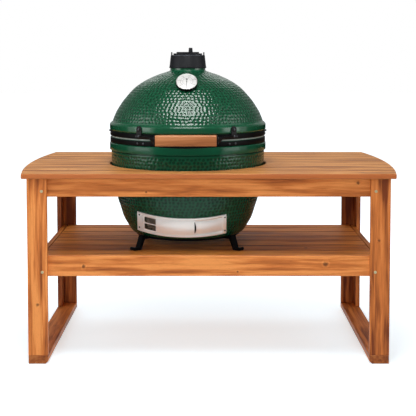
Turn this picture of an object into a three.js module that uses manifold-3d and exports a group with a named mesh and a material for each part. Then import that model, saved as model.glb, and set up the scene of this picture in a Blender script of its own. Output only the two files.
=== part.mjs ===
// A kamado grill standing in a slatted hardwood table.
// Millimetres. X runs to the right along the table, Y to the rear, Z up.
// The origin is on the floor, in the middle of the footprint.

import * as THREE from 'three';
import { mergeVertices } from 'three/addons/utils/BufferGeometryUtils.js';
import Module from 'manifold-3d';

const wasm = await Module();
wasm.setup();

// Driving sizes of the table
const tableHeight = 800;
const boardThickness = 22;
const topCornerLength = 1544;
const endBow = 40;
const frontMargin = 96;
const rearMargin = 136;
const frontDip = 19.225;
const boardRows = 8;
const boardGap = 4.6;
const endOverhang = 19.5;
const sideOverhang = 20;
const legWidth = 82;
const legTimber = 20;
const legSideWidth = 78;
const runnerHeight = 36;
const runnerChamfer = 11;
const apronHeight = 78;
const apronTimber = 20;
const bearerTimber = 32;
const bearerHeight = 62;
const bearerClearance = 24;
const shelfDrop = 365;
const slatThickness = 20;
const slatGap = 5;
const slatEndGap = 3;
const firstSlatWidth = 68.7;
const lastSlatWidth = 77.8;
const wholeSlats = 6;
const shelfApronHeight = 86;
const shelfApronLip = 17;
const shelfLedge = 24;
const shelfLedgeHeight = 26;
const timberEase = 2;
const frontRoundover = 5;

// Driving sizes of the grill
const grillX = -95;
const holeClearance = 8;
const bellyRadius = 346;
const lipWidth = 7;
const lipHeight = 36;
const lipEase = 4;
const shellWall = 28;
const grillLift = 55;
const baseHeight = 374;
const bandSeatHeight = 23;
const rimWidth = 33;
const domeSeatHeight = 23;
const domeLipHeight = 37;
const domeStep = 4;
const domeHeight = 227;
const neckRadius = 79.5;
const neckHeight = 30;
const chimneyRadius = 55;
const gasketThickness = 2.6;
const gasketInset = 1.5;
const bandThickness = 4.7;
const bandHeight = 20.5;
const upperBandHeight = 22;

// Clearances
const seatGap = 0.3;
const runGap = 0.5;
const cutOver = 5;

// Facets
const shellSides = 40;
const ringSides = 36;
const smallSides = 20;
const barSides = 6;
const arcSteps = 10;

// Finishes
const finish = (color, roughness, metalness) => ({ color, roughness, metalness });
const finishes = {
  topWood: finish(0xcb966b, 0.55, 0),
  frameWood: finish(0xd08a4e, 0.55, 0),
  shelfWood: finish(0xb9794a, 0.6, 0),
  handleWood: finish(0xd2905a, 0.45, 0),
  glaze: finish(0x1f5b3c, 0.2, 0),
  clay: finish(0xb8a58c, 0.9, 0),
  castIron: finish(0x2a2c31, 0.6, 0.4),
  blackSteel: finish(0x1b1c1f, 0.5, 0.5),
  stainless: finish(0xd8d2cc, 0.3, 1),
  felt: finish(0x9aa09a, 0.95, 0),
  dialWhite: finish(0xf2f1ee, 0.4, 0),
};

const degrees = THREE.MathUtils.degToRad;
const grillTable = new THREE.Group();

// Mesh helpers
function weld(geometry) {
  const bare = geometry.clone();
  bare.deleteAttribute('normal');
  bare.deleteAttribute('uv');
  const merged = mergeVertices(bare);
  const corners = merged.index.array;
  const kept = [];
  for (let i = 0; i < corners.length; i += 3) {
    const [a, b, c] = [corners[i], corners[i + 1], corners[i + 2]];
    if (a !== b && b !== c && a !== c) kept.push(a, b, c);
  }
  merged.setIndex(kept);
  return merged;
}

// Turns the faces of a closed mesh outwards by the sign of its volume.
function outward(geometry) {
  const place = geometry.getAttribute('position');
  const corners = geometry.index.array;
  const [a, b, c] = [new THREE.Vector3(), new THREE.Vector3(), new THREE.Vector3()];
  let volume = 0;
  for (let i = 0; i < corners.length; i += 3) {
    a.fromBufferAttribute(place, corners[i]);
    b.fromBufferAttribute(place, corners[i + 1]);
    c.fromBufferAttribute(place, corners[i + 2]);
    volume += a.dot(b.cross(c));
  }
  if (volume < 0) {
    const turned = Array.from(corners);
    for (let i = 0; i < turned.length; i += 3) {
      [turned[i + 1], turned[i + 2]] = [turned[i + 2], turned[i + 1]];
    }
    geometry.setIndex(turned);
  }
  return geometry;
}

const closed = (geometry) => outward(weld(geometry));

function toSolid(geometry) {
  const mesh = closed(geometry);
  return new wasm.Manifold(new wasm.Mesh({
    numProp: 3,
    vertProperties: new Float32Array(mesh.getAttribute('position').array),
    triVerts: new Uint32Array(mesh.index.array),
  }));
}

function toGeometry(solid) {
  const mesh = solid.getMesh();
  const geometry = new THREE.BufferGeometry();
  const places = new Float32Array(mesh.vertProperties);
  geometry.setAttribute('position', new THREE.BufferAttribute(places, 3));
  geometry.setIndex(new THREE.BufferAttribute(new Uint32Array(mesh.triVerts), 1));
  return geometry;
}

function joined(geometries) {
  return toGeometry(geometries.map(toSolid).reduce((whole, piece) => whole.add(piece)));
}

function cut(geometry, cutters) {
  const cutting = (whole, cutter) => whole.subtract(cutter);
  return toGeometry(cutters.map(toSolid).reduce(cutting, toSolid(geometry)));
}

function piece(parent, name, geometry, look) {
  const mesh = new THREE.Mesh(closed(geometry), new THREE.MeshStandardMaterial(look));
  mesh.name = name;
  parent.add(mesh);
  return mesh;
}

// Shape helpers
function outline(points) {
  const shape = new THREE.Shape();
  shape.moveTo(points[0][0], points[0][1]);
  points.slice(1).forEach(([x, y]) => shape.lineTo(x, y));
  return shape;
}

// A flat outline given thickness, with all its arrises eased.
function easedSlab(shape, thickness, ease, rounds = 1) {
  const slab = new THREE.ExtrudeGeometry(shape, {
    depth: thickness - 2 * ease,
    bevelEnabled: true,
    bevelSize: ease,
    bevelOffset: -ease,
    bevelThickness: ease,
    bevelSegments: rounds,
    curveSegments: arcSteps,
  });
  return slab.translate(0, 0, ease);
}

function plate(shape, thickness, steps = arcSteps) {
  return new THREE.ExtrudeGeometry(shape, { depth: thickness, bevelEnabled: false, curveSegments: steps });
}

// A plank between two corners, with eased arrises.
function plank([x0, y0, z0], [x1, y1, z1]) {
  const shape = outline([[x0, y0], [x1, y0], [x1, y1], [x0, y1]]);
  return easedSlab(shape, z1 - z0, timberEase).translate(0, 0, z0);
}

function block([x0, y0, z0], [x1, y1, z1]) {
  const box = new THREE.BoxGeometry(x1 - x0, y1 - y0, z1 - z0);
  return box.translate((x0 + x1) / 2, (y0 + y1) / 2, (z0 + z1) / 2);
}

// A profile of radius and height turned about Z. It closes on itself.
function turned(profile, sides) {
  const points = [...profile, profile[0]].map(([r, z]) => new THREE.Vector2(r, z));
  return new THREE.LatheGeometry(points, sides).rotateX(Math.PI / 2);
}

// A ring sector. Angles are in degrees from the front, positive to the right.
function sector(inner, outer, from, to, low, high, steps = arcSteps) {
  const [a, b] = [degrees(from - 90), degrees(to - 90)];
  const shape = new THREE.Shape();
  shape.absarc(0, 0, outer, a, b, false);
  shape.absarc(0, 0, inner, b, a, true);
  return plate(shape, high - low, steps).translate(0, 0, low);
}

function rod(radius, length, sides = smallSides) {
  return new THREE.CylinderGeometry(radius, radius, length, sides);
}

// Heights that the table shares
const boardBottom = tableHeight - boardThickness;
const frameTop = boardBottom - seatGap;
const shelfTopHeight = tableHeight - shelfDrop;
const holeRadius = bellyRadius + holeClearance;
const topDepth = frontMargin + 2 * holeRadius + rearMargin;
const halfTop = topDepth / 2;
const grillY = frontMargin + holeRadius - halfTop;
const halfLength = topCornerLength / 2 - endOverhang;
const halfDepth = halfTop - sideOverhang;
const innerX = halfLength - legTimber;
const innerY = halfDepth - legTimber;

// Sled base and legs
const runnerInner = halfLength - legWidth;
for (const [side, name] of [[-1, 'runner_left'], [1, 'runner_right']]) {
  const section = outline([
    [halfLength, 0],
    [halfLength, runnerHeight],
    [runnerInner, runnerHeight],
    [runnerInner, runnerChamfer],
    [runnerInner + runnerChamfer, 0],
  ]);
  const bar = easedSlab(section, 2 * halfDepth, timberEase).rotateX(Math.PI / 2).translate(0, halfDepth, 0);
  piece(grillTable, name, bar.scale(side, 1, 1), finishes.frameWood);
}

const legFoot = runnerHeight + seatGap;
const legOutline = [
  [halfLength, halfDepth],
  [halfLength - legWidth, halfDepth],
  [halfLength - legWidth, innerY],
  [innerX, innerY],
  [innerX, innerY - legSideWidth],
  [halfLength, innerY - legSideWidth],
];
for (const [x, xName] of [[-1, 'left'], [1, 'right']]) {
  for (const [y, yName] of [[-1, 'front'], [1, 'rear']]) {
    const shape = outline(legOutline.map(([px, py]) => [px * x, py * y]));
    const leg = easedSlab(shape, frameTop - legFoot, timberEase).translate(0, 0, legFoot);
    piece(grillTable, `leg_${yName}_${xName}`, leg, finishes.frameWood);
  }
}

// Top frame: aprons behind the leg boards and bearers beside the hole
const apronX = innerX - seatGap;
const apronY = innerY - seatGap;
const apronInnerY = apronY - apronTimber;
const apronLow = frameTop - apronHeight;
for (const [y, name] of [[-1, 'apron_front'], [1, 'apron_rear']]) {
  const bar = plank([-apronX, apronInnerY, apronLow], [apronX, apronY, frameTop]);
  piece(grillTable, name, bar.scale(1, y, 1), finishes.frameWood);
}
for (const [x, name] of [[-1, 'apron_left'], [1, 'apron_right']]) {
  const reach = apronInnerY - seatGap;
  const bar = plank([apronX - apronTimber, -reach, apronLow], [apronX, reach, frameTop]);
  piece(grillTable, name, bar.scale(x, 1, 1), finishes.frameWood);
}

const bearerOffset = holeRadius + bearerClearance + bearerTimber / 2;
for (const [x, name] of [[-1, 'bearer_left'], [1, 'bearer_right']]) {
  const reach = apronInnerY - seatGap;
  const half = bearerTimber / 2;
  const bar = plank([-half, -reach, frameTop - bearerHeight], [half, reach, frameTop]);
  piece(grillTable, name, bar.translate(grillX + x * bearerOffset, 0, 0), finishes.frameWood);
}

// Table top: boards along the table with bowed ends, cut by the round hole
const bowRadius = (halfTop ** 2 + endBow ** 2) / (2 * endBow);
const bowCentre = topCornerLength / 2 + endBow - bowRadius;
const secondRow = grillY - holeRadius + frontDip + boardGap;
const rowPitch = (halfTop + boardGap - secondRow) / (boardRows - 1);
const endX = (y) => bowCentre + Math.sqrt(bowRadius ** 2 - y ** 2);
const holeHalf = (y) => Math.sqrt(Math.max(0, holeRadius ** 2 - (y - grillY) ** 2));

// The points of one bowed end from one edge of a board to the other.
function bowedEnd(side, from, to) {
  const points = [];
  for (let i = 0; i <= arcSteps / 2; i += 1) {
    const y = from + (to - from) * i / (arcSteps / 2);
    points.push([side * endX(y), y]);
  }
  return points;
}

// The points of the hole's edge between two rows, on one side of its centre.
function holeEdge(side, from, to) {
  const [a, b] = [from, to].map((y) => Math.asin((y - grillY) / holeRadius));
  const points = [];
  for (let i = 0; i <= arcSteps; i += 1) {
    const t = a + (b - a) * i / arcSteps;
    points.push([grillX + side * holeRadius * Math.cos(t), grillY + holeRadius * Math.sin(t)]);
  }
  return points;
}

// The dip that the hole makes in a board which it doesn't cut through.
function holeDip(y) {
  const half = holeHalf(y);
  const rise = Math.sign(y - grillY);
  const a = Math.atan2(rise * Math.abs(y - grillY), half);
  const points = [];
  for (let i = 0; i <= 2 * arcSteps; i += 1) {
    const t = a + (rise * Math.PI - 2 * a) * i / (2 * arcSteps);
    points.push([grillX + holeRadius * Math.cos(t), grillY + holeRadius * Math.sin(t)]);
  }
  return points;
}

for (let i = 0; i < boardRows; i += 1) {
  const y0 = i === 0 ? -halfTop : secondRow + (i - 1) * rowPitch;
  const y1 = secondRow + i * rowPitch - boardGap;
  const ease = i === 0 ? frontRoundover : timberEase;
  const rounds = i === 0 ? 2 : 1;
  const lay = (name, points) => {
    const board = easedSlab(outline(points), boardThickness, ease, rounds).translate(0, 0, boardBottom);
    piece(grillTable, name, board, finishes.topWood);
  };
  const cutAtFront = holeHalf(y0) > 0;
  const cutAtRear = holeHalf(y1) > 0;
  const label = `top_board_${i + 1}`;
  if (cutAtFront && cutAtRear) {
    lay(`${label}_left`, [...bowedEnd(-1, y1, y0), ...holeEdge(-1, y0, y1)]);
    lay(`${label}_right`, [...bowedEnd(1, y0, y1), ...holeEdge(1, y1, y0)]);
  } else if (cutAtRear) {
    lay(label, [...bowedEnd(1, y0, y1), ...holeDip(y1), ...bowedEnd(-1, y1, y0)]);
  } else if (cutAtFront) {
    lay(label, [...bowedEnd(-1, y1, y0), ...holeDip(y0).reverse(), ...bowedEnd(1, y0, y1)]);
  } else {
    lay(label, [...bowedEnd(1, y0, y1), ...bowedEnd(-1, y1, y0)]);
  }
}

// Lower shelf: aprons, rails with a ledge, and slats along the table
const shelfLow = shelfTopHeight - slatThickness;
const slatX = apronX - apronTimber - seatGap;
const frontApronTop = shelfTopHeight + shelfApronLip;
piece(grillTable, 'shelf_apron_front', plank(
  [-apronX, -apronY, frontApronTop - shelfApronHeight],
  [apronX, -apronInnerY, frontApronTop],
), finishes.frameWood);
piece(grillTable, 'shelf_apron_rear', plank(
  [-slatX, apronInnerY, shelfLow - seatGap - shelfApronHeight],
  [slatX, apronY, shelfLow - seatGap],
), finishes.shelfWood);
for (const [x, name] of [[-1, 'shelf_rail_left'], [1, 'shelf_rail_right']]) {
  const low = shelfTopHeight - shelfApronHeight;
  const ledgeTop = shelfLow - seatGap;
  const section = outline([
    [apronX, low],
    [apronX, shelfTopHeight],
    [apronX - apronTimber, shelfTopHeight],
    [apronX - apronTimber, ledgeTop],
    [apronX - apronTimber - shelfLedge, ledgeTop],
    [apronX - apronTimber - shelfLedge, ledgeTop - shelfLedgeHeight],
    [apronX - apronTimber, ledgeTop - shelfLedgeHeight],
    [apronX - apronTimber, low],
  ]);
  const railLength = 2 * apronInnerY - 2 * seatGap;
  const bar = easedSlab(section, railLength, timberEase).rotateX(Math.PI / 2);
  piece(grillTable, name, bar.translate(0, railLength / 2, 0).scale(x, 1, 1), finishes.shelfWood);
}

const slatEndX = apronX - apronTimber - slatEndGap;
const slatStart = -apronInnerY + seatGap;
const slatEnd = apronY;
const wholeStart = slatStart + firstSlatWidth + slatGap;
const slatPitch = (slatEnd - lastSlatWidth - wholeStart) / wholeSlats;
const slatRows = [[slatStart, slatStart + firstSlatWidth]];
for (let i = 0; i < wholeSlats; i += 1) {
  slatRows.push([wholeStart + i * slatPitch, wholeStart + (i + 1) * slatPitch - slatGap]);
}
slatRows.push([wholeStart + wholeSlats * slatPitch, slatEnd]);
slatRows.forEach(([y0, y1], i) => {
  const slat = plank([-slatEndX, y0, shelfLow], [slatEndX, y1, shelfTopHeight]);
  piece(grillTable, `shelf_slat_${i + 1}`, slat, finishes.shelfWood);
});

// The grill stands on the shelf, in the hole
const grill = new THREE.Group();
grill.position.set(grillX, grillY, 0);
grillTable.add(grill);

const lipRadius = bellyRadius + lipWidth;
const domeRadius = bellyRadius - domeStep;
const baseBottom = shelfTopHeight + grillLift;
const baseLipLow = baseBottom + baseHeight;
const baseSeatLow = baseLipLow + lipHeight;
const rimTop = baseSeatLow + bandSeatHeight;
const gasketJoint = rimTop + seatGap + gasketThickness;
const domeBottom = gasketJoint + seatGap + gasketThickness + seatGap;
const domeLipLow = domeBottom + domeSeatHeight;
const domeStart = domeLipLow + domeLipHeight;
const neckBase = domeStart + domeHeight;
const neckTop = neckBase + neckHeight;

// The egg's curves, as shares of the radius and the height of each half
const baseCurveShares = [
  [0.702, 0], [0.738, 0.022], [0.786, 0.087], [0.846, 0.188], [0.884, 0.3],
  [0.919, 0.4], [0.955, 0.55], [0.985, 0.72], [1, 0.9], [1, 1],
];
const domeCurveShares = [
  [1, 0], [0.969, 0.12], [0.937, 0.22], [0.852, 0.418], [0.737, 0.614],
  [0.661, 0.713], [0.558, 0.812], [0.42, 0.91], [0.306, 0.97], [0.25, 0.997],
];

// A smooth curve through the shares, as radius and height.
function eggCurve(shares, radius, low, height, stepsPerSpan) {
  const through = shares.map(([r, z]) => new THREE.Vector2(r * radius, low + z * height));
  const curve = new THREE.SplineCurve(through);
  return curve.getPoints((shares.length - 1) * stepsPerSpan).map((p) => [p.x, p.y]);
}

// The plainer inner face follows every second point, and the last.
const innerShares = (shares) => shares.filter((_, i) => i % 2 === 0 || i === shares.length - 1);

// The draft door is bent round the grill's tapered foot, so its axis leans to the front.
const draftLeanAngle = 12;
const draftInset = 47;
const draftRise = 60;
const draftHalf = 43;
const draftLeftAngle = -45;
const draftRightAngle = 34;
const windowLeftAngle = -38;
const windowRightAngle = -5;
const windowHalf = 29;
const draftSteps = 12;
const padMargin = 1.6;
const padMarginAngle = 1.6;
const draftRadius = bellyRadius - draftInset;
const draftMiddle = baseBottom + draftRise;
const draftAxisHeight = draftMiddle + draftRadius * Math.sin(degrees(draftLeanAngle));
const leaning = (geometry) => geometry.rotateX(degrees(draftLeanAngle)).translate(0, 0, draftAxisHeight);

const innerRim = bellyRadius - rimWidth;
const baseInnerRadius = bellyRadius - shellWall;
const baseOuter = [
  ...eggCurve(baseCurveShares, bellyRadius, baseBottom, baseHeight, 1),
  [lipRadius, baseLipLow + lipEase],
  [lipRadius, baseSeatLow - lipEase],
  [bellyRadius, baseSeatLow],
  [bellyRadius, rimTop],
  [0, rimTop],
  [0, baseBottom],
];
const cavityLow = baseBottom + shellWall;
const cavityHeight = baseHeight - shellWall;
const baseCavity = [
  ...eggCurve(innerShares(baseCurveShares), baseInnerRadius, cavityLow, cavityHeight, 1),
  [innerRim, baseSeatLow],
  [innerRim, rimTop + cutOver],
  [0, rimTop + cutOver],
  [0, cavityLow],
];
const draftPad = leaning(sector(
  draftRadius - 3 * shellWall,
  draftRadius - seatGap,
  draftLeftAngle - padMarginAngle,
  draftRightAngle + padMarginAngle,
  -draftHalf - padMargin,
  draftHalf + padMargin,
  draftSteps,
));
const draftRecess = leaning(sector(
  draftRadius - seatGap,
  draftRadius + shellWall,
  draftLeftAngle - padMarginAngle,
  draftRightAngle + padMarginAngle,
  -draftHalf - padMargin,
  draftHalf + padMargin,
  draftSteps,
));
const draftHole = leaning(sector(
  draftRadius - 4 * shellWall,
  draftRadius + cutOver,
  windowLeftAngle,
  windowRightAngle,
  -windowHalf,
  windowHalf,
));
const baseBody = joined([turned(baseOuter, shellSides), draftPad]);
const baseCuts = [turned(baseCavity, shellSides), draftRecess, draftHole];
piece(grill, 'base_shell', cut(baseBody, baseCuts), finishes.glaze);

// Draft frame: a bent plate with top and bottom tracks for the screen and the door
const framePlate = 2;
const screenSheet = 1;
const doorSheet = 1.2;
const trackGap = 0.5;
const lipSheet = 1.4;
const lipDepth = 7;
const railHeight = 5;
const endPlateAngle = 6;
const screenFace = draftRadius + framePlate + trackGap;
const doorFace = screenFace + screenSheet + trackGap;
const lipFace = doorFace + doorSheet + trackGap;
const frameOuter = lipFace + lipSheet;
const frameBack = sector(draftRadius, draftRadius + framePlate, draftLeftAngle, draftRightAngle,
  -draftHalf, draftHalf, draftSteps);
const frameWindow = sector(draftRadius - cutOver, draftRadius + framePlate + cutOver,
  windowLeftAngle, windowRightAngle, -windowHalf, windowHalf);
const frameSolids = [frameBack];
for (const side of [-1, 1]) {
  const spans = [
    [draftHalf - railHeight, draftHalf, draftRadius],
    [draftHalf - lipDepth, draftHalf, lipFace],
  ];
  for (const [near, far, inner] of spans) {
    const [low, high] = [side * near, side * far].sort((a, b) => a - b);
    frameSolids.push(sector(inner, frameOuter, draftLeftAngle, draftRightAngle, low, high, draftSteps));
  }
}
frameSolids.push(sector(draftRadius, frameOuter, draftLeftAngle, draftLeftAngle + endPlateAngle,
  -draftHalf, draftHalf));
frameSolids.push(sector(draftRadius, frameOuter, draftRightAngle - endPlateAngle / 2, draftRightAngle,
  -draftHalf, draftHalf));
piece(grill, 'draft_frame', leaning(cut(joined(frameSolids), [frameWindow])), finishes.stainless);

// The screen: a sheet with two rows of slots
const trackHalf = draftHalf - railHeight - runGap;
const screenMarginAngle = 0.6;
const screenLeftAngle = windowLeftAngle - screenMarginAngle;
const screenRightAngle = windowRightAngle + screenMarginAngle;
const slotColumns = 8;
const slotBarShare = 0.3;
const slotMiddle = 2.5;
const screenSheetSolid = sector(screenFace, screenFace + screenSheet, screenLeftAngle, screenRightAngle,
  -trackHalf, trackHalf, draftSteps);
const slots = [];
const slotAngle = (windowRightAngle - windowLeftAngle) / slotColumns;
for (let i = 0; i < slotColumns; i += 1) {
  const from = windowLeftAngle + slotAngle * (i + slotBarShare / 2);
  const to = from + slotAngle * (1 - slotBarShare);
  const rows = [[-windowHalf + slotMiddle, -slotMiddle], [slotMiddle, windowHalf - slotMiddle]];
  for (const [low, high] of rows) {
    slots.push(sector(screenFace - cutOver, screenFace + cutOver, from, to, low, high, 1));
  }
}
piece(grill, 'draft_screen', leaning(cut(screenSheetSolid, slots)), finishes.stainless);

// The door: a plain sheet with an upstanding finger tab
const doorLeftAngle = -26;
const doorRightAngle = doorLeftAngle + windowRightAngle - windowLeftAngle;
const tabAngle = 0.5;
const tabDepth = 9;
const tabHalf = 26;
const doorSheetSolid = sector(doorFace, doorFace + doorSheet, doorLeftAngle, doorRightAngle,
  -trackHalf, trackHalf, draftSteps);
const tabLeftAngle = doorRightAngle - tabAngle;
const doorTab = sector(doorFace, doorFace + tabDepth, tabLeftAngle, doorRightAngle, -tabHalf, tabHalf, 1);
piece(grill, 'draft_door', leaning(joined([doorSheetSolid, doorTab])), finishes.stainless);

// Nest: a steel ring with four steep feet, whose shoulders keep the base from sliding off
const nestInset = 110;
const nestRingWidth = 18;
const nestSteel = 9;
const footWidth = 28;
const nestKnee = 24.5;
const nestShoulder = 28;
const shoulderRise = 8.5;
const nestFoot = 51.5;
const nestToe = 86;
const toeRise = 5;
const frontFootAngle = 48;
const rearFootAngle = 135;
const nestRingOuter = bellyRadius - nestInset;
const kneeReach = nestRingOuter + nestKnee;
const shoulderReach = nestRingOuter + nestShoulder;
const footReach = nestRingOuter + nestFoot;
const toeReach = nestRingOuter + nestToe;
const nestTop = baseBottom - seatGap;
const nestLow = nestTop - nestSteel;
const floorOfNest = shelfTopHeight + seatGap;
const nestRing = turned([
  [nestRingOuter - nestRingWidth, nestLow],
  [nestRingOuter, nestLow],
  [nestRingOuter, nestTop],
  [nestRingOuter - nestRingWidth, nestTop],
], ringSides);
const footProfile = outline([
  [nestRingOuter - nestRingWidth / 2, nestLow],
  [kneeReach, nestLow],
  [footReach - nestSteel / 2, floorOfNest],
  [toeReach - nestSteel / 2, floorOfNest],
  [toeReach + nestSteel / 4, floorOfNest + toeRise],
  [toeReach - nestSteel / 4, floorOfNest + toeRise + nestSteel],
  [footReach + nestSteel / 2, floorOfNest + nestSteel],
  [shoulderReach + nestSteel, nestTop + shoulderRise],
  [shoulderReach, nestTop + shoulderRise],
  [kneeReach, nestTop],
  [nestRingOuter - nestRingWidth / 2, nestTop],
]);
const nestSolids = [nestRing];
for (const angle of [-frontFootAngle, frontFootAngle, rearFootAngle, -rearFootAngle]) {
  const foot = plate(footProfile, footWidth).translate(0, 0, -footWidth / 2).rotateX(Math.PI / 2);
  nestSolids.push(foot.rotateZ(degrees(angle - 90)));
}
piece(grill, 'nest', joined(nestSolids), finishes.blackSteel);

// Fire box: a clay bowl with a ledge for the charcoal grate and an ash door in front
const fireBoxBottom = baseBottom + shellWall + seatGap;
const fireBoxHeight = 203;
const fireBoxTaper = 57;
const fireBoxInset = 56;
const fireWall = 25;
const grateInset = 76;
const grateLedge = 20;
const grateThickness = 10;
const grateLedgeHeight = 88;
const ashDoorHalf = 55;
const ashDoorHeight = 48;
const fireBoxTop = baseInnerRadius - fireBoxInset;
const fireBoxFoot = fireBoxTop - fireBoxTaper;
const grateRadius = fireBoxTop - grateInset;
const boxTop = fireBoxBottom + fireBoxHeight;
const ledgeTopZ = fireBoxBottom + grateLedgeHeight;
const fireBoxBody = turned([
  [fireBoxFoot - fireWall, fireBoxBottom],
  [fireBoxFoot, fireBoxBottom],
  [fireBoxTop, boxTop],
  [fireBoxTop - fireWall, boxTop],
  [grateRadius + runGap, ledgeTopZ + 2 * grateThickness],
  [grateRadius + runGap, ledgeTopZ],
  [grateRadius - grateLedge, ledgeTopZ],
  [grateRadius - grateLedge, ledgeTopZ - grateLedge],
], ringSides);
const ashDoor = block([-ashDoorHalf, -fireBoxTop, fireBoxBottom - cutOver],
  [ashDoorHalf, 0, fireBoxBottom + ashDoorHeight]);
piece(grill, 'fire_box', cut(fireBoxBody, [ashDoor]), finishes.clay);

const grateHoles = [];
const grateHoleRadius = 11;
const grateRingShares = [[0.34, 5], [0.74, 12]];
for (const [share, count] of grateRingShares) {
  for (let i = 0; i < count; i += 1) {
    const hole = rod(grateHoleRadius, 4 * grateThickness, barSides).rotateX(Math.PI / 2);
    grateHoles.push(hole.translate(share * grateRadius, 0, ledgeTopZ).rotateZ(i * 2 * Math.PI / count));
  }
}
const grateDisc = turned([
  [0, ledgeTopZ + seatGap],
  [grateRadius, ledgeTopZ + seatGap],
  [grateRadius, ledgeTopZ + seatGap + grateThickness],
  [0, ledgeTopZ + seatGap + grateThickness],
], ringSides);
piece(grill, 'charcoal_grate', cut(grateDisc, grateHoles), finishes.castIron);

// Fire ring, with the cooking grid on its rim
const fireRingHeight = 118;
const fireRingInset = 26;
const fireRingTop = baseInnerRadius - fireRingInset;
const ringFoot = boxTop + seatGap;
const ringTop = ringFoot + fireRingHeight;
piece(grill, 'fire_ring', turned([
  [fireBoxTop - fireWall, ringFoot],
  [fireBoxTop, ringFoot],
  [fireRingTop, ringTop],
  [fireRingTop - fireWall, ringTop],
], ringSides), finishes.clay);

const gridInset = 8;
const gridWire = 4;
const gridBar = 2.8;
const gridBars = 11;
const gridRadius = fireRingTop - gridInset;
const gridHeight = ringTop + seatGap + gridWire;
const gridHoop = new THREE.TorusGeometry(gridRadius, gridWire, barSides, ringSides);
const gridSolids = [gridHoop.translate(0, 0, gridHeight)];
const barStep = 2 * gridRadius / (gridBars + 1);
for (let i = 1; i <= gridBars; i += 1) {
  const x = -gridRadius + i * barStep;
  const length = 2 * Math.sqrt(gridRadius ** 2 - x ** 2);
  gridSolids.push(rod(gridBar, length, barSides).translate(x, 0, gridHeight));
}
for (const y of [-barStep, barStep]) {
  const length = 2 * Math.sqrt(gridRadius ** 2 - y ** 2);
  const cross = rod(gridBar, length, barSides).rotateZ(Math.PI / 2);
  gridSolids.push(cross.translate(0, y, gridHeight));
}
piece(grill, 'cooking_grid', joined(gridSolids), finishes.stainless);

// Felt gaskets on the two rims
const gasketRing = (low) => turned([
  [innerRim + gasketInset, low],
  [bellyRadius - gasketInset, low],
  [bellyRadius - gasketInset, low + gasketThickness],
  [innerRim + gasketInset, low + gasketThickness],
], shellSides);
piece(grill, 'base_gasket', gasketRing(rimTop + seatGap), finishes.felt);
piece(grill, 'dome_gasket', gasketRing(gasketJoint + seatGap), finishes.felt);

// Dome, with a bore for the thermometer stem
const dialLeanAngle = 45;
const dialRadiusShare = 0.628655;
const dialHeightShare = 0.739648;
const stemRadius = 5;
const stemDepth = 70;
const dialSurfaceRadius = domeRadius * dialRadiusShare;
const dialSurfaceHeight = domeStart + domeHeight * dialHeightShare;
const placeDial = (geometry) => geometry
  .rotateX(degrees(90 - dialLeanAngle))
  .translate(0, -dialSurfaceRadius, dialSurfaceHeight);
const domeInnerRadius = domeRadius - shellWall;
const domeInnerHeight = domeHeight - shellWall;
const domeInner = eggCurve(innerShares(domeCurveShares), domeInnerRadius, domeStart, domeInnerHeight, 1);
const domeBody = turned([
  [bellyRadius, domeBottom],
  [bellyRadius, domeLipLow],
  [lipRadius, domeLipLow + lipEase],
  [lipRadius, domeStart - 2 * lipEase],
  [(lipRadius + domeRadius) / 2, domeStart - lipEase / 2],
  ...eggCurve(domeCurveShares, domeRadius, domeStart, domeHeight, 2),
  [neckRadius, neckBase + lipEase],
  [neckRadius, neckTop],
  [chimneyRadius, neckTop],
  [chimneyRadius, neckBase - shellWall + lipEase],
  ...domeInner.reverse(),
  [innerRim, domeLipLow],
  [innerRim, domeBottom],
], shellSides);
const stemBore = placeDial(rod(stemRadius + seatGap, 4 * stemDepth, smallSides).rotateX(Math.PI / 2));
piece(grill, 'dome_shell', cut(domeBody, [stemBore]), finishes.glaze);

// Thermometer: stem and case in one, with a raised bezel, and a pointer over the dial
const dialRadius = 46;
const dialLow = 7.5;
const dialFace = 24;
const bezelWidth = 3;
const bezelRise = 1.5;
const hubRadius = 3.4;
const hubHeight = 2;
const pointerLength = 33;
const pointerTail = 9;
const pointerHalf = 1.6;
const pointerSheet = 0.8;
piece(grill, 'thermometer_case', placeDial(turned([
  [0, -stemDepth],
  [stemRadius, -stemDepth],
  [stemRadius, dialLow],
  [dialRadius, dialLow],
  [dialRadius, dialFace + bezelRise],
  [dialRadius - bezelWidth, dialFace + bezelRise],
  [dialRadius - bezelWidth, dialFace],
  [0, dialFace],
], ringSides)), finishes.dialWhite);
const needle = plate(outline([
  [-pointerHalf, pointerTail],
  [-pointerHalf, 0],
  [-pointerHalf / 4, -pointerLength],
  [pointerHalf / 4, -pointerLength],
  [pointerHalf, 0],
  [pointerHalf, pointerTail],
]), pointerSheet).translate(0, 0, dialFace + seatGap);
const hubMiddle = dialFace + seatGap + hubHeight / 2;
const hub = rod(hubRadius, hubHeight).rotateX(Math.PI / 2).translate(0, 0, hubMiddle);
piece(grill, 'thermometer_pointer', placeDial(joined([needle, hub])), finishes.castIron);

// Bands: two steel straps round the rims, with the hinge at the rear
const hingeReach = 45;
const hingeY = lipRadius + hingeReach;
const hingeZ = rimTop + seatGap;
const pinRadius = 5;
const boreShare = 1.06;
const pinBore = pinRadius * boreShare;
const eyeRadius = 13;
const eyeStartShare = 0.85;
const eyeEndShare = 0.4;
const earSteel = 8;
const lowerEarX = 62;
const upperEarX = lowerEarX - earSteel - runGap;
const pinHead = 3;
const bandRing = (low, height) => turned([
  [bellyRadius + seatGap, low],
  [bellyRadius + seatGap + bandThickness, low],
  [bellyRadius + seatGap + bandThickness, low + height],
  [bellyRadius + seatGap, low + height],
], shellSides);

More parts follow.
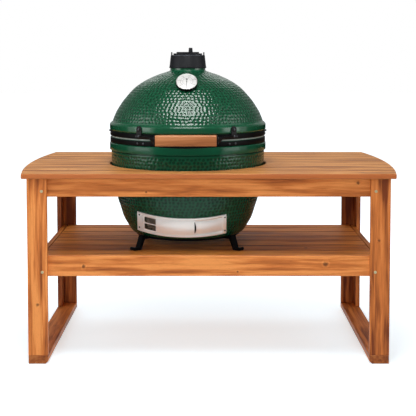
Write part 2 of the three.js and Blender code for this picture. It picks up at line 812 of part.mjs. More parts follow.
// One hinge ear in the YZ plane, from the band back to the pin.
function hingeEar(low, high, x) {
  const shape = new THREE.Shape();
  const farX = Math.abs(x + earSteel / 2) + earSteel / 2;
  const root = Math.sqrt((bellyRadius + bandThickness / 2) ** 2 - farX ** 2);
  if (low < hingeZ) {
    shape.moveTo(root, low);
    shape.lineTo(hingeY, hingeZ - eyeRadius);
    shape.absarc(hingeY, hingeZ, eyeRadius, -Math.PI / 2, Math.PI / 2, false);
    shape.lineTo(root, high);
  } else {
    shape.moveTo(root, low);
    shape.lineTo(hingeY - eyeRadius, low);
    shape.absarc(hingeY, hingeZ, eyeRadius, Math.PI * eyeStartShare, Math.PI * (2 + eyeEndShare), false);
    shape.lineTo(root, high);
  }
  return plate(shape, earSteel).rotateX(Math.PI / 2).rotateZ(Math.PI / 2).translate(x, 0, 0);
}

const pinHole = rod(pinBore, 3 * lowerEarX).rotateZ(Math.PI / 2).translate(0, hingeY, hingeZ);
const lowerBandLow = baseSeatLow + seatGap;
const lowerEars = [-lowerEarX, lowerEarX - earSteel]
  .map((x) => hingeEar(lowerBandLow, lowerBandLow + bandHeight, x));
const lowerBand = joined([bandRing(lowerBandLow, bandHeight), ...lowerEars]);
piece(grill, 'lower_band', cut(lowerBand, [pinHole]), finishes.castIron);
const upperBandLow = domeBottom + seatGap;
const upperEars = [-upperEarX, upperEarX - earSteel]
  .map((x) => hingeEar(upperBandLow, upperBandLow + upperBandHeight, x));
const upperBand = joined([bandRing(upperBandLow, upperBandHeight), ...upperEars]);
piece(grill, 'upper_band', cut(upperBand, [pinHole]), finishes.castIron);
const pinEnd = lowerEarX + runGap;
piece(grill, 'hinge_pin', turned([
  [0, -pinEnd - pinHead],
  [pinRadius + pinHead, -pinEnd - pinHead],
  [pinRadius + pinHead, -pinEnd],
  [pinRadius, -pinEnd],
  [pinRadius, pinEnd],
  [pinRadius + pinHead, pinEnd],
  [pinRadius + pinHead, pinEnd + pinHead],
  [0, pinEnd + pinHead],
], smallSides).rotateY(Math.PI / 2).translate(0, hingeY, hingeZ), finishes.blackSteel);

// Handle: a wooden grip between two bent steel brackets
const gripLength = 255;
const gripHeight = 46;
const gripDepth = 34;
const gripEase = 7;
const gripRise = 3.9;
const gripReach = 52;
const gripMiddle = domeBottom + gripRise;
const gripY = lipRadius + gripReach;
const gripShape = outline([
  [-gripDepth / 2, -gripHeight / 2],
  [gripDepth / 2, -gripHeight / 2],
  [gripDepth / 2, gripHeight / 2],
  [-gripDepth / 2, gripHeight / 2],
]);
const grip = easedSlab(gripShape, gripLength, gripEase / 2, 2)
  .translate(0, 0, -gripLength / 2)
  .rotateX(Math.PI / 2)
  .rotateZ(Math.PI / 2)
  .translate(0, -gripY, gripMiddle);
piece(grill, 'handle_grip', grip, finishes.handleWood);

const bracketSteel = 5;
const strapAngle = 34.5;
const strapWidthAngle = 4.2;
const strapDrop = 3.1;
const armHalf = 15;
const endPlateHalf = 20;
const strapTop = domeStart - strapDrop;
const strapRadius = lipRadius + seatGap;
const strapX = strapRadius * Math.sin(degrees(strapAngle));
const strapY = strapRadius * Math.cos(degrees(strapAngle));
const endX0 = gripLength / 2 + seatGap;
const endX1 = endX0 + bracketSteel;
for (const [side, name] of [[-1, 'handle_bracket_left'], [1, 'handle_bracket_right']]) {
  const [from, to] = [-strapWidthAngle / 2, strapWidthAngle / 2].map((a) => side * strapAngle + a);
  const strapLow = domeBottom + lipEase;
  const strap = sector(strapRadius, strapRadius + bracketSteel, from, to, strapLow, strapTop, 2);
  const arm = plate(outline([
    [strapX - bracketSteel, -strapY - bracketSteel],
    [strapX + bracketSteel, -strapY - bracketSteel / 2],
    [endX1, -gripY + gripDepth / 2],
    [endX1, -gripY - gripDepth / 2 + gripEase],
    [endX0, -gripY - gripDepth / 2 + gripEase],
    [endX0, -gripY + gripDepth / 2 - bracketSteel],
  ].map(([x, y]) => [side * x, y])), 2 * armHalf).translate(0, 0, gripMiddle - armHalf);
  const endPlate = block([endX0, -gripY - gripDepth / 2 + bracketSteel / 2, gripMiddle - endPlateHalf],
    [endX1, -gripY + gripDepth / 2, gripMiddle + endPlateHalf]).scale(side, 1, 1);
  piece(grill, name, joined([strap, arm, endPlate]), finishes.castIron);
}

// Vent cap: a tapered collar over the neck, with lifting ears and a hinge at the rear
const capFlangeWidth = 4.5;
const capFlangeHeight = 6;
const capFootWall = 3.4;
const capTopInset = 2.5;
const capHeight = 59;
const capLap = 17;
const capEarTop = 13;
const capEarSteel = 6;
const capEarPlaceAngle = 90;
const capEarAngle = 10;
const capBottom = neckTop - capLap;
const capTop = capBottom + capHeight;
const capBore = neckRadius + seatGap;
const plateLap = 10;
const plateThickness = 7;
const capHingeReach = 10;
const capHingeRise = 8;
const capEyeRadius = 6;
const capPinRadius = 3;
const knuckleHalf = 8.5;
const capCheek = 6;
const capHingeZ = capTop + capHingeRise;
const capFlangeRadius = neckRadius + capFlangeWidth;
const capFootRadius = neckRadius + capFootWall;
const capTopRadius = neckRadius - capTopInset;
const plateRadius = chimneyRadius + plateLap;
const capHingeY = plateRadius + capHingeReach;
const capSolids = [turned([
  [capBore, capBottom],
  [capFlangeRadius, capBottom],
  [capFlangeRadius, capBottom + capFlangeHeight],
  [capFootRadius, capBottom + capFlangeHeight],
  [capTopRadius, capTop],
  [chimneyRadius, capTop],
  [chimneyRadius, neckTop + seatGap],
  [capBore, neckTop + seatGap],
], shellSides)];
for (const middle of [-capEarPlaceAngle, capEarPlaceAngle]) {
  capSolids.push(sector(capTopRadius - capEarSteel, capTopRadius - seatGap, middle - capEarAngle,
    middle + capEarAngle, capTop - capEarSteel, capTop + capEarTop, 4));
}
for (const x of [-knuckleHalf - runGap - capCheek, knuckleHalf + runGap]) {
  capSolids.push(block([x, capHingeY - capEyeRadius, capTop - capEyeRadius],
    [x + capCheek, capHingeY + capEyeRadius / 2, capHingeZ + capEyeRadius]));
}
const capPinBore = rod(capPinRadius * boreShare, 6 * knuckleHalf)
  .rotateZ(Math.PI / 2)
  .translate(0, capHingeY, capHingeZ);
piece(grill, 'vent_cap', cut(joined(capSolids), [capPinBore]), finishes.castIron);

// Cap plate and daisy disc: the same petal openings in both
const petals = 5;
const discInset = 14;
const petalInner = 16;
const petalRim = 7;
const petalShare = 0.46;
const fullTurn = 360;
const petalAngle = fullTurn / petals;
const discRadius = plateRadius - discInset;
const petalOuter = discRadius - petalRim;
const petalCutters = (low, high) => Array.from({ length: petals }, (_, i) => sector(
  petalInner,
  petalOuter,
  180 + i * petalAngle - petalShare * petalAngle / 2,
  180 + i * petalAngle + petalShare * petalAngle / 2,
  low - cutOver,
  high + cutOver,
  4,
));
const plateLow = capTop + seatGap;
const plateHigh = plateLow + plateThickness;
const tongue = block([-knuckleHalf, plateRadius - capEyeRadius, plateLow],
  [knuckleHalf, capHingeY, plateHigh]);
const knuckle = rod(capEyeRadius, 2 * knuckleHalf).rotateZ(Math.PI / 2).translate(0, capHingeY, capHingeZ);
const capPin = rod(capPinRadius, 2 * (knuckleHalf + runGap + capCheek))
  .rotateZ(Math.PI / 2)
  .translate(0, capHingeY, capHingeZ);
const flatDisc = (radius, low, high) => turned([
  [0, low],
  [radius, low],
  [radius, high],
  [0, high],
], ringSides);
const plateDisc = flatDisc(plateRadius, plateLow, plateHigh);
const plateBody = joined([plateDisc, tongue, knuckle, capPin]);
piece(grill, 'cap_plate', cut(plateBody, petalCutters(plateLow, plateHigh)), finishes.castIron);

const discThickness = 6;
const knobRadius = 10;
const knobHeight = 19;
const knobTopShare = 0.8;
const knobX = 13;
const knobY = -10;
const discLow = plateHigh + seatGap;
const discHigh = discLow + discThickness;
const disc = flatDisc(discRadius, discLow, discHigh);
const knob = turned([
  [0, discHigh - discThickness / 2],
  [knobRadius, discHigh - discThickness / 2],
  [knobRadius * knobTopShare, discHigh + knobHeight],
  [0, discHigh + knobHeight],
], smallSides).translate(knobX, knobY, 0);
piece(grill, 'daisy_disc', joined([cut(disc, petalCutters(discLow, discHigh)), knob]), finishes.castIron);

export default grillTable;
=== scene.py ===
# %% [markdown]
# # A kamado grill in a hardwood table
#
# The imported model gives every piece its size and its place, and this script gives the pieces their
# looks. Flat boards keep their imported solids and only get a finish. The turned and bent pieces, such as
# the ceramic egg, its bands and the draft door, get finer surfaces that stand in the same place.

# %% Load the frame
import math

import bmesh
import bpy
import numpy as np
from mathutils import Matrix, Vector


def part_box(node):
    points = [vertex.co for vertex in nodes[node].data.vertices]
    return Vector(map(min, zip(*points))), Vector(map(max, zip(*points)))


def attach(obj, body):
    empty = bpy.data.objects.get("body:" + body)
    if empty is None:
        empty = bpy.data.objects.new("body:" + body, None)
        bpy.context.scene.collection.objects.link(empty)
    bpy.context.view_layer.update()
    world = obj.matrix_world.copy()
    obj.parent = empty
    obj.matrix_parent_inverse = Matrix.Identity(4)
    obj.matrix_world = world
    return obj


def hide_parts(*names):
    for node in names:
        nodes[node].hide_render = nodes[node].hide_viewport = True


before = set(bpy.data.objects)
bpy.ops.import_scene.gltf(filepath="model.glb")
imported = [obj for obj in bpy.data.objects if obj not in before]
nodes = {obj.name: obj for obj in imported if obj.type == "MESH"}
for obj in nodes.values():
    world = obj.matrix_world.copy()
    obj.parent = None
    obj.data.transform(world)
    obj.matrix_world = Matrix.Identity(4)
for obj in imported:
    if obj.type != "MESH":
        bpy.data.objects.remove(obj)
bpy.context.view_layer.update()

scene = bpy.context.scene

# %% [markdown]
# Colours are written as they look on a screen, so one function turns them into the linear values that
# shaders add up. Materials are small graphs of nodes. One function adds any node: its kind may be
# followed by its setting, and then come the values of its open sockets in their order. A value is a
# number, a hex colour or another node's output, which is linked.

# %% Colour and node helpers
SETTINGS = {"Math": "operation", "VectorMath": "operation", "Mix": "data_type",
            "MapRange": "interpolation_type", "Attribute": "attribute_name"}


def linear(colour):
    """Linear RGBA of an sRGB hex colour: c / 12.92 up to 0.04045, above it ((c + 0.055) / 1.055) ** 2.4."""
    shown = np.array([int(colour[i:i + 2], 16) for i in (1, 3, 5)]) / 255
    values = np.where(shown <= 0.04045, shown / 12.92, ((shown + 0.055) / 1.055) ** 2.4)
    return (*values.tolist(), 1.0)


def fill(tree, node, values):
    """Gives a node's sockets, by name or number, their values."""
    for key, value in values.items():
        if isinstance(value, bpy.types.NodeSocket):
            tree.links.new(value, node.inputs[key])
        else:
            node.inputs[key].default_value = linear(value) if isinstance(value, str) else value


def add(tree, kind, *values, out="", **named):
    """Adds a shader node and returns its first open output, the one named out, or all for None."""
    kind, *setting = kind.split()
    node = tree.nodes.new("ShaderNode" + kind)
    if setting:
        setattr(node, SETTINGS[kind], setting[0])
    still_open = [i for i, socket in enumerate(node.inputs) if socket.enabled]
    fill(tree, node, {**dict(zip(still_open, values)), **named})
    if out is None:
        return node.outputs
    return next(socket for socket in node.outputs if socket.enabled and out in ("", socket.name))


def material(name):
    """A material, its node tree and its Principled shader."""
    made = bpy.data.materials.new(name)
    made.use_nodes = True
    return made, made.node_tree, made.node_tree.nodes["Principled BSDF"]


def grains(tree, place, sizes, detail=3.0, roughness=0.55, out="Fac"):
    """Noise whose grains have the given sizes in millimetres along the three axes."""
    scaled = add(tree, "VectorMath MULTIPLY", place, tuple(1000 / size for size in sizes))
    return add(tree, "TexNoise", out=out, Vector=scaled, Scale=1.0, Detail=detail, Roughness=roughness)


print("white is", linear("#ffffff"), "and mid grey is", [round(v, 3) for v in linear("#808080")])

# %% [markdown]
# New pieces are computed in millimetres, as tables of points and faces. A turned piece is a profile
# carried round an axis, a bent plate is a section carried along an arc, and a flat piece is an outline
# with rounded rims. Each maker returns its points and faces, so pieces can be joined before they
# become a mesh.

# %% Mesh helpers
GRILL = np.array([-95.0, -20.0, 0.0])  # the grill's axis on the floor
CREASE = math.radians(38)  # edges that turn more than this stay sharp


def piece(name, part, finish, body, slot, *replaced, origin=GRILL):
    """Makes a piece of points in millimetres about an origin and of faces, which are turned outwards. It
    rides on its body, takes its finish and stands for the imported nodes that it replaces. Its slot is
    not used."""
    points, faces = part
    mesh = bpy.data.meshes.new(name)
    mesh.from_pydata(((points + origin) / 1000).tolist(), [], faces)
    shape = bmesh.new()
    shape.from_mesh(mesh)
    bmesh.ops.recalc_face_normals(shape, faces=shape.faces)
    shape.to_mesh(mesh)
    shape.free()
    mesh.shade_smooth()
    mesh.set_sharp_from_angle(angle=CREASE)
    mesh.materials.append(finish)
    made = bpy.data.objects.new(name, mesh)
    scene.collection.objects.link(made)
    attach(made, body)
    if replaced:
        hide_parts(*replaced)
    print(name, "faces", len(mesh.polygons))
    return made


def finish_node(name, finish):
    """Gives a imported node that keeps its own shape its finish."""
    nodes[name].data.materials.clear()
    nodes[name].data.materials.append(finish)


def joined(parts):
    """Several tables of points and faces as one."""
    points, faces, start = [], [], 0
    for p, f in parts:
        points.append(p)
        faces += [[i + start for i in face] for face in f]
        start += len(p)
    return np.vstack(points), faces


def strip_faces(rows, columns, around=True, closed=False):
    """Quads of a grid of points, row after row. Around joins the last column to the first, and closed does
    so with the rows."""
    steps = np.arange(rows if closed else rows - 1), np.arange(columns if around else columns - 1)
    i, j = np.meshgrid(*steps, indexing="ij")
    up, across = (i + 1) % rows, (j + 1) % columns
    quads = [i * columns + j, i * columns + across, up * columns + across, up * columns + j]
    return np.stack(quads, axis=-1).reshape(-1, 4)


def capped(rows, count):
    """Faces of a tube of closed rows of points, with a cap on the first and on the last row."""
    ends = [list(range(count)), list(range((rows - 1) * count, rows * count))]
    return strip_faces(rows, count).tolist() + ends


def ring_faces(counts):
    """Faces of closed rows of points, the last row joined to the first. A row has as many points as the
    next one, half as many or twice as many: then each face takes two steps of the finer row."""
    starts = np.concatenate([[0], np.cumsum(counts)]).astype(int)
    faces = []
    for i, count in enumerate(counts):
        after = (i + 1) % len(counts)
        low, high, other = starts[i], starts[after], counts[after]
        if other == count:
            j = np.arange(count)
            k = (j + 1) % count
            rows = [low + j, low + k, high + k, high + j]
        else:
            fine, coarse = (low, high) if count > other else (high, low)
            j = np.arange(min(count, other))
            k, many = (j + 1) % len(j), max(count, other)
            rows = [fine + 2 * j, fine + 2 * j + 1, fine + (2 * j + 2) % many, coarse + k, coarse + j]
        faces += np.stack(rows, axis=-1).tolist()
    return faces


def rounded(corners, radius, steps=4):
    """A closed outline whose corners become arcs. Each starts and ends radius * tan(turn / 2) from its
    corner, or nearer where an edge is short."""
    corners = np.asarray(corners, float)
    radii = np.broadcast_to(np.asarray(radius, float), len(corners))
    out = []
    for before, at, after, r in zip(np.roll(corners, 1, 0), corners, np.roll(corners, -1, 0), radii):
        a, b = before - at, after - at
        la, lb = np.linalg.norm(a), np.linalg.norm(b)
        a, b = a / la, b / lb
        half = math.acos(float(np.clip(a @ b, -1, 1))) / 2
        if r <= 0 or half > math.pi / 2 - 0.02:
            out.append(at)
            continue
        reach = min(r / math.tan(half), la * 0.49, lb * 0.49)
        r = reach * math.tan(half)
        centre = at + (a + b) / np.linalg.norm(a + b) * r / math.sin(half)
        start, end = at + a * reach - centre, at + b * reach - centre
        swing = math.atan2(start[0] * end[1] - start[1] * end[0], start @ end)
        t = np.linspace(0, swing, steps + 1)[:, None]
        out += list(centre + start * np.cos(t) + np.array([-start[1], start[0]]) * np.sin(t))
    return np.array(out)


def upright(angle, height, radius):
    """Points at an angle in degrees from the front, a height and a radius: x = r sin(a), y = -r cos(a)."""
    a = np.radians(angle)
    return np.stack(np.broadcast_arrays(radius * np.sin(a), -radius * np.cos(a), height), axis=-1)


def turned(profile, columns=96):
    """A profile of radius and height carried round Z. It closes on itself or ends on the axis."""
    profile = np.asarray(profile, float)
    poled = profile[0, 0] == 0 and profile[-1, 0] == 0
    rows = profile[1:-1] if poled else profile
    angles = np.linspace(0, 360, columns, endpoint=False)
    grid = upright(angles, rows[:, 1, None], rows[:, 0, None]).reshape(-1, 3)
    faces = strip_faces(len(rows), columns, closed=not poled).tolist()
    if poled:
        count = len(grid)
        grid = np.vstack([grid, [[0, 0, profile[0, 1]], [0, 0, profile[-1, 1]]]])
        for pole, start in ((count, 0), (count + 1, count - columns)):
            faces += [[pole, start + a, start + (a + 1) % columns] for a in range(columns)]
    return grid, faces


def inset(outline, distance):
    """The outline moved inwards by a distance along the bisector of each corner."""
    ahead = np.roll(outline, -1, 0) - outline
    ahead /= np.linalg.norm(ahead, axis=1)[:, None]
    normal = np.stack([-ahead[:, 1], ahead[:, 0]], axis=-1)
    bisector = normal + np.roll(normal, 1, 0)
    bisector /= np.maximum((bisector * normal).sum(1), 0.2)[:, None]
    return outline + bisector * distance


def prism(outline, low, high, ease=0.0, steps=3):
    """An outline raised from low to high, with rims rounded by quarter circles of radius ease."""
    outline = np.asarray(outline, float)
    x, y = outline[:, 0], outline[:, 1]
    if (x * np.roll(y, -1) - y * np.roll(x, -1)).sum() < 0:
        outline = outline[::-1]
    arc = np.linspace(0, math.pi / 2, steps + 1) if ease else [math.pi / 2]
    levels = [(ease * (1 - math.sin(t)), low + ease * (1 - math.cos(t))) for t in arc]
    levels += [(d, high - (z - low)) for d, z in reversed(levels)]
    rings = [np.column_stack([inset(outline, d), np.full(len(outline), z)]) for d, z in levels]
    return np.vstack(rings), capped(len(rings), len(outline))


def oblong(low, high, ease=1.0, corner=None):
    """A box between two corners, with rounded upright edges and rims."""
    (x0, y0, z0), (x1, y1, z1) = low, high
    plan = rounded([[x0, y0], [x1, y0], [x1, y1], [x0, y1]], corner or ease)
    return prism(plan, z0, z1, ease)


def turn(part, axis, degrees):
    """Points turned about X, Y or Z."""
    c, s = math.cos(math.radians(degrees)), math.sin(math.radians(degrees))
    matrix = {"X": [[1, 0, 0], [0, c, -s], [0, s, c]], "Y": [[c, 0, s], [0, 1, 0], [-s, 0, c]],
              "Z": [[c, -s, 0], [s, c, 0], [0, 0, 1]]}[axis]
    return part[0] @ np.array(matrix).T, part[1]


def shift(part, x=0.0, y=0.0, z=0.0):
    """Points moved by an offset."""
    return part[0] + np.array([x, y, z]), part[1]


def carried(section, low_angle, high_angle, steps, place):
    """A closed section of radius and height carried from one angle to another and put in its place."""
    angles = np.linspace(low_angle, high_angle, steps + 1)[:, None]
    grid = place(angles, section[:, 1], section[:, 0])
    return grid.reshape(-1, 3), capped(steps + 1, len(section))


def arc_plate(inner, outer, low_angle, high_angle, low, high, ease=0.8, steps=24):
    """A plate bent round Z between two angles from the front, with rounded edges."""
    section = rounded([[inner, low], [outer, low], [outer, high], [inner, high]], ease, 3)
    return carried(section, low_angle, high_angle, steps, upright)


def button(radius, height, rim=1.2, columns=24):
    """A low round head on Z, with a rounded rim."""
    corners = [[0, 0], [radius, 0], [radius, height], [0, height]]
    return turned(rounded(corners, [0, 0, min(rim, height * 0.9), 0], 4), columns)


print("a button has", len(button(5, 3)[0]), "points")

# %% [markdown]
# ## The ceramic egg
#
# The dome and the base are cast ceramic with a thick green glaze, and their faces are covered with
# shallow pits, laid in rows round the egg. The pits break up every reflection, so they have to be real
# relief. Each shell is one grid of points: rows along its profile and columns round its axis. A pit is
# found for each point among the nearest three rows of pits.

# %% Profiles of the egg
BASE_SHARES = [[0.702, 0], [0.738, 0.022], [0.786, 0.087], [0.846, 0.188], [0.884, 0.3],
               [0.919, 0.4], [0.955, 0.55], [0.985, 0.72], [1, 0.9], [1, 1]]
DOME_SHARES = [[1, 0], [0.969, 0.12], [0.937, 0.22], [0.852, 0.418], [0.737, 0.614],
               [0.661, 0.713], [0.558, 0.812], [0.42, 0.91], [0.306, 0.97], [0.25, 0.997]]
FOOT, FLOOR = 490, 518
BASE_RADIUS, DOME_RADIUS = 346, 342
ROW_STEP = 3.9  # between the rows of points on the base
SHELL_COLUMNS = 560  # points round the base in each row


def smooth_curve(points, per_span=40):
    """A Catmull-Rom curve: the cubic of each span has the slope (next - previous) / 2 at its ends."""
    points = np.asarray(points, float)
    ends = np.vstack([points[:1], points, points[-1:]])
    t = np.linspace(0, 1, per_span, endpoint=False)[:, None]
    spans = []
    for a, b, c, d in zip(ends[:-3], ends[1:-2], ends[2:-1], ends[3:]):
        u, v = (c - a) / 2, (d - b) / 2
        spans.append((2 * b - 2 * c + u + v) * t ** 3 + (-3 * b + 3 * c - 2 * u - v) * t ** 2 + u * t + b)
    return np.vstack(spans + [points[-1:]])


def even(points, step):
    """The same line with points at even steps along it."""
    run = np.concatenate([[0], np.cumsum(np.linalg.norm(np.diff(points, axis=0), axis=1))])
    at = np.linspace(0, run[-1], max(2, round(run[-1] / step)) + 1)
    return np.column_stack([np.interp(at, run, points[:, k]) for k in (0, 1)])


def egg_side(shares, radius, low, height, step):
    """One side of the egg, its shares scaled to a radius and a height."""
    return even(smooth_curve(np.array(shares) * [radius, height] + [0, low]), step)


base_side = egg_side(BASE_SHARES, BASE_RADIUS, FOOT, 374, ROW_STEP)
print("rows on the outside of the base", len(base_side))

# %% [markdown]
# A pit is a shallow bowl with a flat rim. Bump alone would leave the egg's outline smooth, so the pits
# move the points themselves, along the profile's own normal.

# %% Pits in the glaze
PIT_PITCH, PIT_ROW = 17.0, 14.6  # from pit to pit in a row, and from row to row
PIT_RADIUS, PIT_DEPTH = 8.9, 2.4
PIT_FADE = 9.0  # over this length the pits fade out at the top and the foot


def pit_depths(run, radii, angles, seed):
    """How deep each point of a grid lies in a pit, from 0 to 1: (1 - q^2)^2, where q is its distance from
    the nearest pit's middle over the pit's radius. Rows of pits are drawn at random round the egg."""
    draws = np.random.default_rng(seed)
    rows = int(run[-1] / PIT_ROW) + 3
    middles = (np.arange(rows) - 0.5) * PIT_ROW
    counts = np.maximum(6, np.round(2 * math.pi * np.interp(middles, run, radii) / PIT_PITCH)).astype(int)
    phases = draws.uniform(0, 2 * math.pi, rows)
    widest = counts.max() + 1
    aside, along = draws.uniform(-0.17, 0.17, (2, rows, widest))
    strength = draws.uniform(0.72, 1.0, (rows, widest))
    depth = np.zeros((len(run), len(angles)))
    nearest = np.clip(np.round(run / PIT_ROW + 0.5).astype(int), 1, rows - 2)
    for row in (-1, 0, 1):
        k = (nearest + row)[:, None]
        spacing = 2 * math.pi / counts[k]
        cell = np.round((angles[None] - phases[k]) / spacing).astype(int)
        for beside in (-1, 0, 1):
            pit = (cell + beside) % counts[k]
            away = (angles[None] - phases[k] - (cell + beside + aside[k, pit]) * spacing) * radii[:, None]
            up = run[:, None] - middles[k] - along[k, pit] * PIT_ROW
            q = (away ** 2 + up ** 2) / PIT_RADIUS ** 2
            depth = np.maximum(depth, np.clip(1 - q, 0, 1) ** 2 * strength[k, pit])
    return depth


def eased(t):
    """A smooth step from 0 to 1: t^2 (3 - 2 t), with t held between 0 and 1."""
    t = np.clip(t, 0, 1)
    return t * t * (3 - 2 * t)


def shell_grid(profile, pitted, seed, columns=SHELL_COLUMNS):
    """Points of a turned shell whose rows from pitted[0] to pitted[1] carry pits, and the pits' depths.
    The pits fade out towards the first and the last of these rows."""
    angles = np.linspace(0, 2 * math.pi, columns, endpoint=False)
    a, b = pitted
    side = profile[a:b]
    run = np.concatenate([[0], np.cumsum(np.linalg.norm(np.diff(side, axis=0), axis=1))])
    depth = np.zeros((len(profile), columns))
    fade = eased(np.minimum(run, run[-1] - run) / PIT_FADE)
    depth[a:b] = pit_depths(run, side[:, 0], angles, seed) * fade[:, None]
    slope = np.gradient(profile, axis=0)
    slope /= np.maximum(np.linalg.norm(slope, axis=1), 1e-9)[:, None]
    r = profile[:, 0, None] - depth * PIT_DEPTH * slope[:, 1, None]
    z = profile[:, 1, None] + depth * PIT_DEPTH * slope[:, 0, None]
    return upright(np.degrees(angles), z, r), depth


def store_depth(shell, depth):
    """Keeps the pits' depths on the points, so the glaze can pool in them. Minus one is bare ceramic."""
    values = shell.data.attributes.new("pit_depth", "FLOAT", "POINT")
    values.data.foreach_set("value", depth.astype(np.float32))


print("a row of pits has up to", round(2 * math.pi * BASE_RADIUS / PIT_PITCH), "pits")

# %% [markdown]
# Glaze is glass over a coloured body. It runs thin on the ridges, where it looks lighter, and pools
# darker in the pits. The shader mixes the colours by the stored depth and adds slow patches and a very
# fine ripple, and a clear coat gives the second, sharper reflection. The inside of the egg is bare
# ceramic, pale and matt, and the stored depth marks it with minus one.

# %% Green glaze
def green_glaze(name, pooled, flowing, ridge, gloss, coat):
    """Glaze in its three colours, with a gloss and a coat share of its own."""
    made, tree, shader = material(name)
    place = add(tree, "TexCoord", out="Object")
    depth = add(tree, "Attribute pit_depth", out="Fac")
    patches = grains(tree, place, (150, 150, 150))
    body = add(tree, "Mix RGBA", patches, pooled, flowing)
    thin = add(tree, "Mix RGBA", add(tree, "MapRange SMOOTHSTEP", depth, 0, 0.55), ridge, body)
    specks = add(tree, "MapRange SMOOTHSTEP", grains(tree, place, (2.2, 2.2, 2.2), 2), 0.66, 0.76)
    glaze = add(tree, "Mix RGBA", add(tree, "Math MULTIPLY", specks, 0.25), thin, "#2f6a4a")
    bare = add(tree, "Math LESS_THAN", depth, -0.5)
    ceramic = add(tree, "Mix RGBA", patches, "#9d8f7c", "#c9bda8")
    ripple = grains(tree, place, (5, 5, 5), 2)
    fill(tree, shader, {
        "Base Color": add(tree, "Mix RGBA", bare, glaze, ceramic),
        "Roughness": add(tree, "Math MULTIPLY_ADD", bare, 0.7, 0.16),
        "Specular IOR Level": gloss,
        "Coat Weight": add(tree, "Math MULTIPLY_ADD", bare, -coat, coat),
        "Coat Roughness": 0.06,
        "Normal": add(tree, "Bump", Distance=0.16 / 1000, Height=ripple)})
    return made


dome_glaze = green_glaze("Green pitted glaze", "#07301d", "#0b3d26", "#164f35", 0.42, 0.2)
# The base takes the same glaze in darker colours and with less gloss and coat: painted shade on the belly
# under the lip.
shaded_base_glaze = green_glaze("Green pitted glaze with painted shade", "#062c1e", "#093926", "#114a33", 0.25, 0.08)
print(dome_glaze.name, "nodes", len(dome_glaze.node_tree.nodes))

# %% [markdown]
# The base is a bowl: its profile starts on the axis under the foot, runs up the outside over the
# rolled lip and the band's seat, and comes back down the inside. The draft opening is cut through
# by leaving out the cells of the grid that lie in it, outside and inside, and walling the edge.
# Round it the glaze is flattened to the face that the draft door's frame is screwed to.

# %% Base shell
LEAN = math.radians(12)
LEAN_HEIGHT = 612.165
PAD = {"angles": (-48.0, 37.0), "half": 46.5, "radius": 298.7}
WINDOW = {"angles": (-38.6, -4.4), "half": 29.8}
WINDOW_HEIGHTS = (519.5, 600)  # the window is looked for between these
LIP_LOW = 857  # where the belly ends and the rolled lip starts
GLAZED_LIP_ROWS = 28  # rows of the lip that still carry glaze


def to_leaning(points):
    """World points as angle from the front in degrees, height and radius about the draft door's axis,
    which leans: forward = y cos(lean) + z sin(lean), height = -y sin(lean) + z cos(lean)."""
    x, y, z = points[..., 0], points[..., 1], points[..., 2] - LEAN_HEIGHT
    forward = y * math.cos(LEAN) + z * math.sin(LEAN)
    height = -y * math.sin(LEAN) + z * math.cos(LEAN)
    return np.degrees(np.arctan2(x, -forward)), height, np.hypot(x, forward)


def from_leaning(angle, height, radius):
    """The way back: angle, height and radius about the leaning axis as world points."""
    x, forward, rise = np.moveaxis(upright(angle, height, radius), -1, 0)
    y = forward * math.cos(LEAN) - rise * math.sin(LEAN)
    z = LEAN_HEIGHT + forward * math.sin(LEAN) + rise * math.cos(LEAN)
    return np.stack([x, y, z], axis=-1)


def inside(angle, height, region):
    """True where an angle and a height lie in a region of the leaning cylinder."""
    low, high = region["angles"]
    return (angle > low) & (angle < high) & (np.abs(height) < region["half"])


def base_profile():
    """The bowl's profile, the first and last row of the window's band, and the same band inside."""
    foot = [[70, FOOT], [160, FOOT], [236, FOOT], [240.5, 490.3], [242.6, 491.6]]
    rise = base_side[(base_side[:, 1] > 493) & (base_side[:, 1] < LIP_LOW)]
    lip = rounded([[346, 857.2], [345.9, 859.3], [335, 859.6], [335, 863.6], [353.2, 864.8], [353.2, 896.5],
                   [346.1, 900.2], [346, 923], [313, 923], [313, 900], [300, 700]],
                  [0, 1.2, 0, 0, 1.8, 5, 1, 2.5, 2.5, 0, 0], 4)[:-1]
    inner = egg_side(BASE_SHARES, 318, FLOOR, 346, 18)
    in_band = (rise[:, 1] > WINDOW_HEIGHTS[0]) & (rise[:, 1] < WINDOW_HEIGHTS[1])
    band = np.flatnonzero(in_band) + len(foot)
    outer = np.vstack([foot, rise, lip])
    heights = rise[in_band, 1]
    radii = np.interp(heights, inner[:, 1], inner[:, 0])
    above = inner[inner[:, 1] > 604][::-1]
    back = np.column_stack([radii, heights])[::-1]
    floor = np.array([[218, 518.2], [150, FLOOR], [70, FLOOR]])
    profile = np.vstack([outer, above, back, floor])
    return profile, (band[0], band[-1]), len(outer) + len(above), (len(foot), len(foot) + len(rise))


